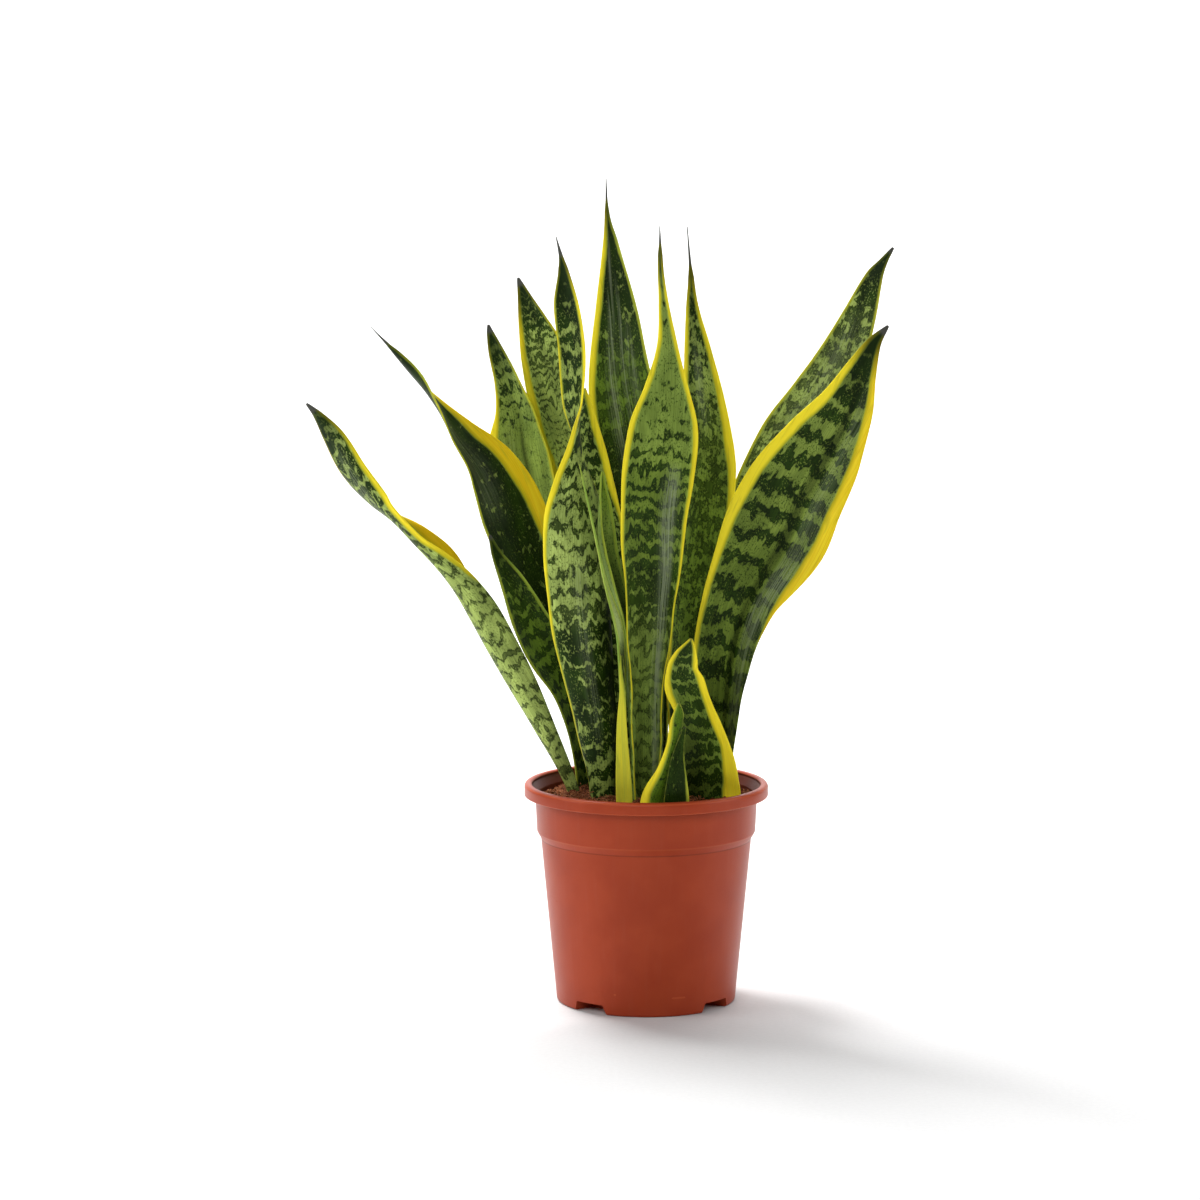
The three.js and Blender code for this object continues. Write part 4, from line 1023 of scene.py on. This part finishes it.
# ---- Big leaf, right ----
# The biggest leaf, leaning to the right and forward. Its two halves meet in a valley; the blade is
# blotched olive and grey-green with thick dark waves, and its right margin is wide and golden.
grow_leaf("leaf_right_big", [
    [51, 0, 120, 29, -25, 110], [52, 0, 155, 34, -25, 92], [53, -3, 205, 43, -25, 72],
    [57, -8, 247, 49, -24, 58], [67, -13, 284, 57, -22, 46], [88.5, -20, 326, 77, -20, 38],
    [103, -28, 360, 74, -18, 34], [121, -37, 392, 60, -18, 30], [135, -44, 418, 42, -18, 30],
    [145, -51, 445, 23, -18, 28], [153, -56, 464, 10, -18, 25], [162, -60, 476, 1.5, -18, 25],
], paint=[
    (120, 1.2, -2, 0.45, 0.87, 0.3, 0.2), (155, 1.4, -2, 0.5, 0.87, 0.3, 0.15),
    (205, 1.8, -2, 0.5, 0.87, 0.3, 0.1), (250, 2.4, -1, 0.5, 0.87, 0.25, 0.05),
    (270, 2.9, 0.5, 0.5, 0.87, 0.25, 0.02), (289, 3.8, 3.4, 0.5, 0.87, 0.2, 0),
    (305, 5.2, 7.6, 0.5, 0.87, 0.2, 0), (326, 7.2, 11.6, 0.5, 0.82, 0.15, 0),
    (352, 8.6, 10.4, 0.5, 0.82, 0.1, 0), (392, 7.6, 7.9, 0.5, 0.77, 0.1, 0.05),
    (418, 6.8, 6.2, 0.4, 0.72, 0.1, 0.15), (445, 4.2, 3.7, 0.2, 0.72, 0.1, 0.4),
    (464, 1.6, 1.6, 0.05, 0.62, 0.1, 0.6), (476, 0.5, 0.5, 0.05, 0.62, 0.1, 0.6),
], awl=7, gold=(0.05, 0.5), period=20, bars=0.62, seed=9, zigzag=0.5, fold=(0.06, 0.45),
    streaks=[(250, 440, 0.42, 0.3, 0.35), (140, 330, 0.62, 0.28, 0.6),
             (180, 450, 0.17, 0.11, -1.1)])

# ---- Leaf at the back right ----
# A long leaf behind the big one, streaked grey-green with dark patches and narrow pale margins.
grow_leaf("leaf_right_back", [
    [45, 38, 120, 23, -15, 105], [47, 40, 155, 26, -15, 80], [62, 51, 253, 40, -15, 42],
    [85, 62, 337, 54, -15, 30], [105, 70, 382, 54, -15, 25], [123.5, 75, 413, 46, -15, 22],
    [139, 80, 443, 35, -15, 22], [150.5, 83, 470, 25.5, -15, 20], [161.5, 85, 500, 13, -15, 20],
    [168, 86, 511, 6, -15, 20], [175, 88, 521, 1.5, -15, 20],
], paint=[
    (120, 0.6, 0.6, 0.4, 0.1, 0.1, 0), (250, 0.8, 0.7, 0.45, 0.1, 0.1, -0.1),
    (330, 1.1, 0.9, 0.5, 0.1, 0.15, -0.2), (420, 1.1, 1, 0.5, 0.1, 0.15, -0.2),
    (470, 0.9, 0.9, 0.4, 0.1, 0.15, -0.1), (500, 0.7, 0.7, 0.2, 0.1, 0.1, 0.05),
    (521, 0.5, 0.5, 0.1, 0.1, 0.1, 0.2),
], awl=5, gold=(-0.3, -0.3), period=16, bars=0.35, seed=10,
    streaks=[(240, 480, -0.3, 0.3, 0.45), (240, 480, 0.4, 0.3, 0.45)])

# ---- Small leaf at the back left ----
# A small leaf behind the golden one, sharply folded along its midrib, fresh green on its right half.
grow_leaf("leaf_back_small", [
    [-24, 57, 120, 22, -10, 100], [-29, 59, 155, 25, -10, 75], [-65, 70, 277, 36, -10, 50],
    [-88, 81, 375, 47, -15, 44], [-91, 82, 405, 31, -18, 42], [-97, 82, 427, 20, -20, 42],
    [-105, 83, 448, 12, -20, 40], [-109, 83, 460, 6, -20, 40], [-111, 82, 467, 1.5, -20, 40],
], paint=[
    (120, 1.3, 0.7, 0.7, 0.3, 0.18, 0), (330, 7, 1, 0.86, 0.3, 0.51, -0.2),
    (375, 7.4, 1.2, 0.9, 0.3, 0.54, -0.3), (392, 4.6, 1.1, 0.9, 0.3, 0.54, -0.05),
    (405, 2, 0.9, 0.7, 0.3, 0.42, 0.05), (430, 1, 0.7, 0.55, 0.3, 0.3, 0.15),
    (467, 0.5, 0.5, 0.4, 0.3, 0.24, 0.45),
], awl=6, gold=(0.05, -0.3), period=11, bars=0.5, seed=11, fold=(0.1, 0.7),
    streaks=[(320, 405, -0.35, 0.25, 0.3), (300, 410, 0.12, 0.06, -0.9)])

# ---- Leaf hidden behind the front left ----
# A leaf that shows only between its neighbours, its grey-green outer face to the front.
grow_leaf("leaf_hidden_back", [
    [-14, 24, 120, 24, 170, 100], [-16, 24, 155, 28, 170, 78], [-27, 26, 244, 39, 170, 48],
    [-34, 28, 324, 38, 170, 40], [-38, 30, 371, 26, 170, 36], [-41, 32, 404, 13, 170, 35],
    [-43, 35, 426, 1.5, 170, 35],
], paint=[
    (120, -1, -1, 0.4, 0.3, 0.2, 0.5), (300, -1, -1, 0.42, 0.3, 0.2, 0.35),
    (335, 2, -1, 0.42, 0.3, 0.2, 0.3), (355, 5, -1, 0.42, 0.3, 0.2, 0.25),
    (400, 5, -1, 0.42, 0.3, 0.2, 0.25), (426, 1.2, -0.5, 0.2, 0.3, 0.2, 0.3),
], awl=0, gold=(0.1, -0.5), period=9, bars=0.4, seed=12)

# ---- Small leaf, front right ----
# A low, broad leaf in front of the big one, dark with black waves and a bulging yellow margin.
grow_leaf("leaf_front_right_small", [
    [43.5, -19, 120, 42, -5, 72], [44, -21, 150, 52, -5, 58], [41.5, -26, 168, 51, -5, 55],
    [39, -30, 185, 45, -5, 52], [35.6, -35, 201.6, 35, -5, 46], [32.7, -38, 213, 29.5, -5, 44],
    [26.4, -42, 230, 31, -5, 44], [24.6, -44, 240.5, 23.5, -5, 40],
    [26.6, -47, 250, 17.5, -5, 38], [29, -50, 257.5, 8.5, -5, 35], [30, -52, 262, 1.5, -5, 30],
], paint=[
    (120, -1, 15, 0.32, 0.7, 0.5, 0.3), (153, -1, 16, 0.34, 0.7, 0.5, 0.2),
    (185, -1, 9, 0.36, 0.7, 0.5, 0.1), (202, -0.5, 7.7, 0.36, 0.7, 0.5, 0.05),
    (213, 1.5, 6.4, 0.34, 0.7, 0.5, 0.1), (220, 3.6, 6.2, 0.34, 0.7, 0.5, 0.1),
    (230, 4.8, 6, 0.3, 0.6, 0.5, 0.15), (240, 3.4, 3.9, 0.23, 0.5, 0.4, 0.2),
    (250, 2.2, 3.2, 0.18, 0.5, 0.4, 0.25), (262, 0.7, 0.7, 0.18, 0.5, 0.4, 0.4),
], awl=0, gold=(0.1, 0.2), period=12, bars=0.8, seed=13, zigzag=0.1,
    streaks=[(90, 215, -0.5, 0.4, -0.5)])

# ---- Short leaf, front ----
# A young, short leaf at the front, plain bright green, with a yellow margin on its left.
grow_leaf("leaf_short_front", [
    [3, -63, 120, 16, 180, 40], [3.5, -64, 152, 16.5, 180, 40], [11, -64, 173, 8.5, 180, 35],
    [16.5, -64, 190, 6.8, 180, 35], [19.6, -63, 204.5, 8.6, 180, 35],
    [21.3, -62, 212, 7, 180, 35], [21.3, -61, 219, 1.5, 180, 35],
], paint=[
    (120, -1, 6.4, 0.75, 0.4, 1, 0.1), (150, -1, 6.6, 0.75, 0.4, 1, 0.05),
    (173, -1, 3.2, 0.75, 0.4, 1, 0.05), (190, -1, 2.2, 0.75, 0.4, 1, 0.05),
    (204, -1, 2.2, 0.75, 0.4, 1, 0.05), (212, -0.3, 1.2, 0.6, 0.4, 1, 0.1),
    (219, 0.2, 0.4, 0.4, 0.4, 1, 0.2),
], awl=0, gold=(0.3, 0.05), period=9, bars=0.1, seed=14,
    streaks=[(60, 230, -0.9, 0.3, -0.5)])

# ---- Young leaf, centre ----
# A young leaf, still folded into a channel: plain bright green without bands, with pale edges.
grow_leaf("leaf_young", [
    [-7, 6, 120, 18, 40, 100], [-7, 5, 155, 20, 45, 95], [-13, -10, 235, 23, 60, 80],
    [-16.5, -24, 262, 24, 66, 76], [-19.7, -30.5, 278, 25, 68, 75], [-25.5, -36, 297, 26, 70, 74],
    [-30.3, -37.5, 316, 27, 70, 72], [-32.3, -37.5, 334, 26, 68, 68], [-32, -38, 352, 18, 64, 66],
    [-31.5, -38, 364, 9, 60, 62], [-30.8, -38, 376, 1.5, 60, 60],
], paint=[
    (120, 0.5, 0.5, 0.95, 0.5, 0.9, 0.6), (235, 0.6, 0.8, 0.98, 0.5, 0.9, 0.45),
    (262, 0.6, 0.8, 0.98, 0.4, 0.6, 0.05), (337, 0.6, 1, 0.98, 0.3, 0.5, -0.1),
    (376, 0.4, 0.5, 0.9, 0.5, 1, 0.1),
], awl=0, gold=(-0.8, -0.9), period=11, bars=0.1, seed=15, fold=(0.0, 0.3),
    streaks=[(180, 380, -0.8, 0.35, 0.35), (100, 320, 0.4, 0.5, -0.6)])

# ---- Yellow leaf, front ----
# A slim leaf in front, pale yellow almost throughout, with faint green cross bands and a dark tip.
grow_leaf("leaf_front_yellow", [
    [-15.5, -50, 120, 11.5, 10, 35], [-15.7, -50, 146, 11.5, 10, 35],
    [-16.3, -50, 164, 10.8, 10, 32], [-17.1, -51, 185, 8.4, 10, 30],
    [-17.5, -53, 206, 6.2, 10, 30], [-16.8, -55, 227, 3.8, 10, 30],
    [-17.2, -55, 240, 3.3, 10, 30], [-17.7, -56, 252, 1.5, 10, 30],
], paint=[
    (120, 12.5, -1, 0.2, 0.5, 0.4, 0.3), (185, 12.5, -1, 0.2, 0.5, 0.4, 0.3),
    (206, 8, -1, 0.2, 0.5, 0.4, 0.35), (220, 4.6, -1, 0.2, 0.6, 0.4, 0.4),
    (230, 2.4, -1, 0.2, 0.6, 0.4, 0.5), (240, 0.8, -1, 0.2, 0.6, 0.4, 0.6),
    (252, -0.5, -1, 0.2, 0.6, 0.4, 0.7),
], awl=0, gold=(-0.42, -0.42), period=12, bars=0.7, seed=16)

# ---- Sliver leaf, centre ----
# A thin leaf seen almost edge-on in the middle of the plant, light green.
grow_leaf("leaf_sliver", [
    [-16.5, -37, 120, 5, 60, 40], [-16.5, -37, 155, 5.5, 60, 40], [-17, -41, 215, 6.5, 55, 40],
    [-18.6, -46, 260, 8, 45, 38], [-21, -48, 274, 8, 45, 37], [-25, -50, 287, 6.5, 58, 36],
    [-29.3, -51, 302, 5, 75, 35], [-32.2, -51, 316, 4.2, 85, 35], [-36.3, -51, 336, 3.6, 85, 35],
    [-41, -51, 357, 3, 85, 35], [-46.5, -51, 382, 1.5, 85, 35],
], paint=[
    (120, 0.3, 0.3, 0.9, 0.3, 0.5, 0.8), (250, 0.4, 0.3, 0.9, 0.3, 0.5, 0.7),
    (266, 0.2, 0.2, 1, 0.1, 0.1, -0.4), (300, 0.2, 0.2, 1, 0.1, 0.1, -0.5),
    (341, 0.3, 0.3, 1, 0.1, 0.1, -0.5), (382, 0.4, 0.4, 1, 0.1, 0.1, -0.5),
], awl=0, gold=(-0.9, -0.9), period=12, bars=0.1, seed=17,
    streaks=[(200, 300, 0.0, 0.8, 0.5)])

# ---- Tiny leaf, front ----
# The smallest leaf, a dark shoot beside the short one.
grow_leaf("leaf_front_tiny", [
    [18.5, -60, 120, 10, 0, 40], [20, -65, 151, 18.5, 0, 40], [20.3, -66, 167, 14.5, 0, 40],
    [20.6, -66, 179, 10, 0, 35], [22.5, -65.5, 191, 5.5, 0, 35], [25.7, -65, 203, 1.5, 0, 35],
], paint=[
    (120, -1, 0.9, 0.12, 0.6, 0.5, 0.6), (160, -1, 0.9, 0.12, 0.6, 0.5, 0.55),
    (172, -1, -0.2, 0.12, 0.6, 0.5, 0.5), (190, -1, -1, 0.12, 0.6, 0.5, 0.4),
    (203, -1, -1, 0.12, 0.6, 0.5, 0.4),
], awl=0, gold=(-0.5, -0.5), period=9, bars=0.3, seed=18)

# ---- Floor and backdrop ----
# The photo's white sweep: a sheet of matt paper that runs under the pot and curves up behind it.
SWEEP_HALF_WIDTH = 3.5
SWEEP_FRONT = -2.6
SWEEP_BEND_START = 2.4
SWEEP_BEND_RADIUS = 1.0
SWEEP_TOP = 3.4
PAPER_DIM = (0.645, 0.645, 0.645)
PAPER_BRIGHT = (0.665, 0.665, 0.665)


def sweep_mesh():
    line = [(SWEEP_FRONT, 0.0), (-1.0, 0.0), (0.0, 0.0), (SWEEP_BEND_START, 0.0)]
    for k in range(1, 13):
        angle = math.radians(90 * k / 12)
        line.append((SWEEP_BEND_START + SWEEP_BEND_RADIUS * math.sin(angle),
                     SWEEP_BEND_RADIUS * (1 - math.cos(angle))))
    line.append((SWEEP_BEND_START + SWEEP_BEND_RADIUS, SWEEP_TOP))
    points = [(x, y, z) for y, z in line for x in (-SWEEP_HALF_WIDTH, SWEEP_HALF_WIDTH)]
    faces = [(2 * k, 2 * k + 1, 2 * k + 3, 2 * k + 2) for k in range(len(line) - 1)]
    return new_mesh("sweep", points, faces)


sweep = new_object("sweep", sweep_mesh())
shade_smooth(sweep)
paper, tree, shader = new_material("sweep_paper")
place = add(tree, "ShaderNodeTexCoord").outputs["Object"]
tooth = noise_value(tree, place, 300.0, 3.0)
shade = mix_colour(tree, smooth_step(tree, tooth, 0.3, 0.7), PAPER_DIM, PAPER_BRIGHT)
tree.links.new(shade, shader.inputs["Base Color"])
shader.inputs["Roughness"].default_value = 0.9
sweep.data.materials.append(paper)

# ---- Camera and light ----
# The photo is taken with a long lens from 7.6 degrees above the horizon. The key light stands high
# behind the plant, on the left. Soft lights fill in from the left, the right, the front and above,
# and a strong one keeps the sweep behind the plant white.
CAMERA_DISTANCE = 3.0
CAMERA_PITCH = 7.6
CAMERA_TARGET = (-0.0322, 0.0, 0.2816)
CAMERA_LENS = 129.78
SENSOR_WIDTH = 36
WORLD_STRENGTH = 0.07


def soft_light(name, place, target, size, power):
    data = bpy.data.lights.new(name, "AREA")
    data.shape = "RECTANGLE"
    data.size, data.size_y = size
    data.energy = power
    light = bpy.data.objects.new(name, data)
    light.location = place
    light.rotation_euler = (Vector(target) - Vector(place)).to_track_quat("-Z", "Y").to_euler()
    bpy.context.scene.collection.objects.link(light)
    return light


key = soft_light("key", (-0.72, 0.85, 2.0), (0, 0, 0.22), (0.8, 0.8), 59)
left = soft_light("left", (-1.7, -0.5, 0.9), (0, 0, 0.2), (0.9, 1.4), 14)
right = soft_light("right", (1.7, -0.3, 0.8), (0, 0, 0.2), (0.9, 1.4), 13)
front = soft_light("front", (-0.5, -2.4, 1.5), (0, 0, 0.3), (1.8, 1.0), 21)
top = soft_light("top", (0.0, 0.7, 2.3), (0, 0, 0.2), (1.6, 1.6), 4)
back = soft_light("back", (0.0, 1.7, 2.5), (0, 3.2, 0.5), (3.4, 1.4), 170)
world = bpy.data.worlds.new("studio")
world.use_nodes = True
background = world.node_tree.nodes["Background"]
background.inputs["Color"].default_value = (1.0, 1.0, 1.0, 1.0)
background.inputs["Strength"].default_value = WORLD_STRENGTH
bpy.context.scene.world = world

camera_data = bpy.data.cameras.new("camera")
camera_data.lens = CAMERA_LENS
camera_data.sensor_width = SENSOR_WIDTH
camera = bpy.data.objects.new("camera", camera_data)
pitch = math.radians(CAMERA_PITCH)
camera.location = (CAMERA_TARGET[0], CAMERA_TARGET[1] - CAMERA_DISTANCE * math.cos(pitch),
                   CAMERA_TARGET[2] + CAMERA_DISTANCE * math.sin(pitch))
camera.rotation_euler = (math.radians(90) - pitch, 0, 0)
bpy.context.scene.collection.objects.link(camera)
bpy.context.scene.camera = camera
bpy.context.scene.view_settings.view_transform = "Standard"
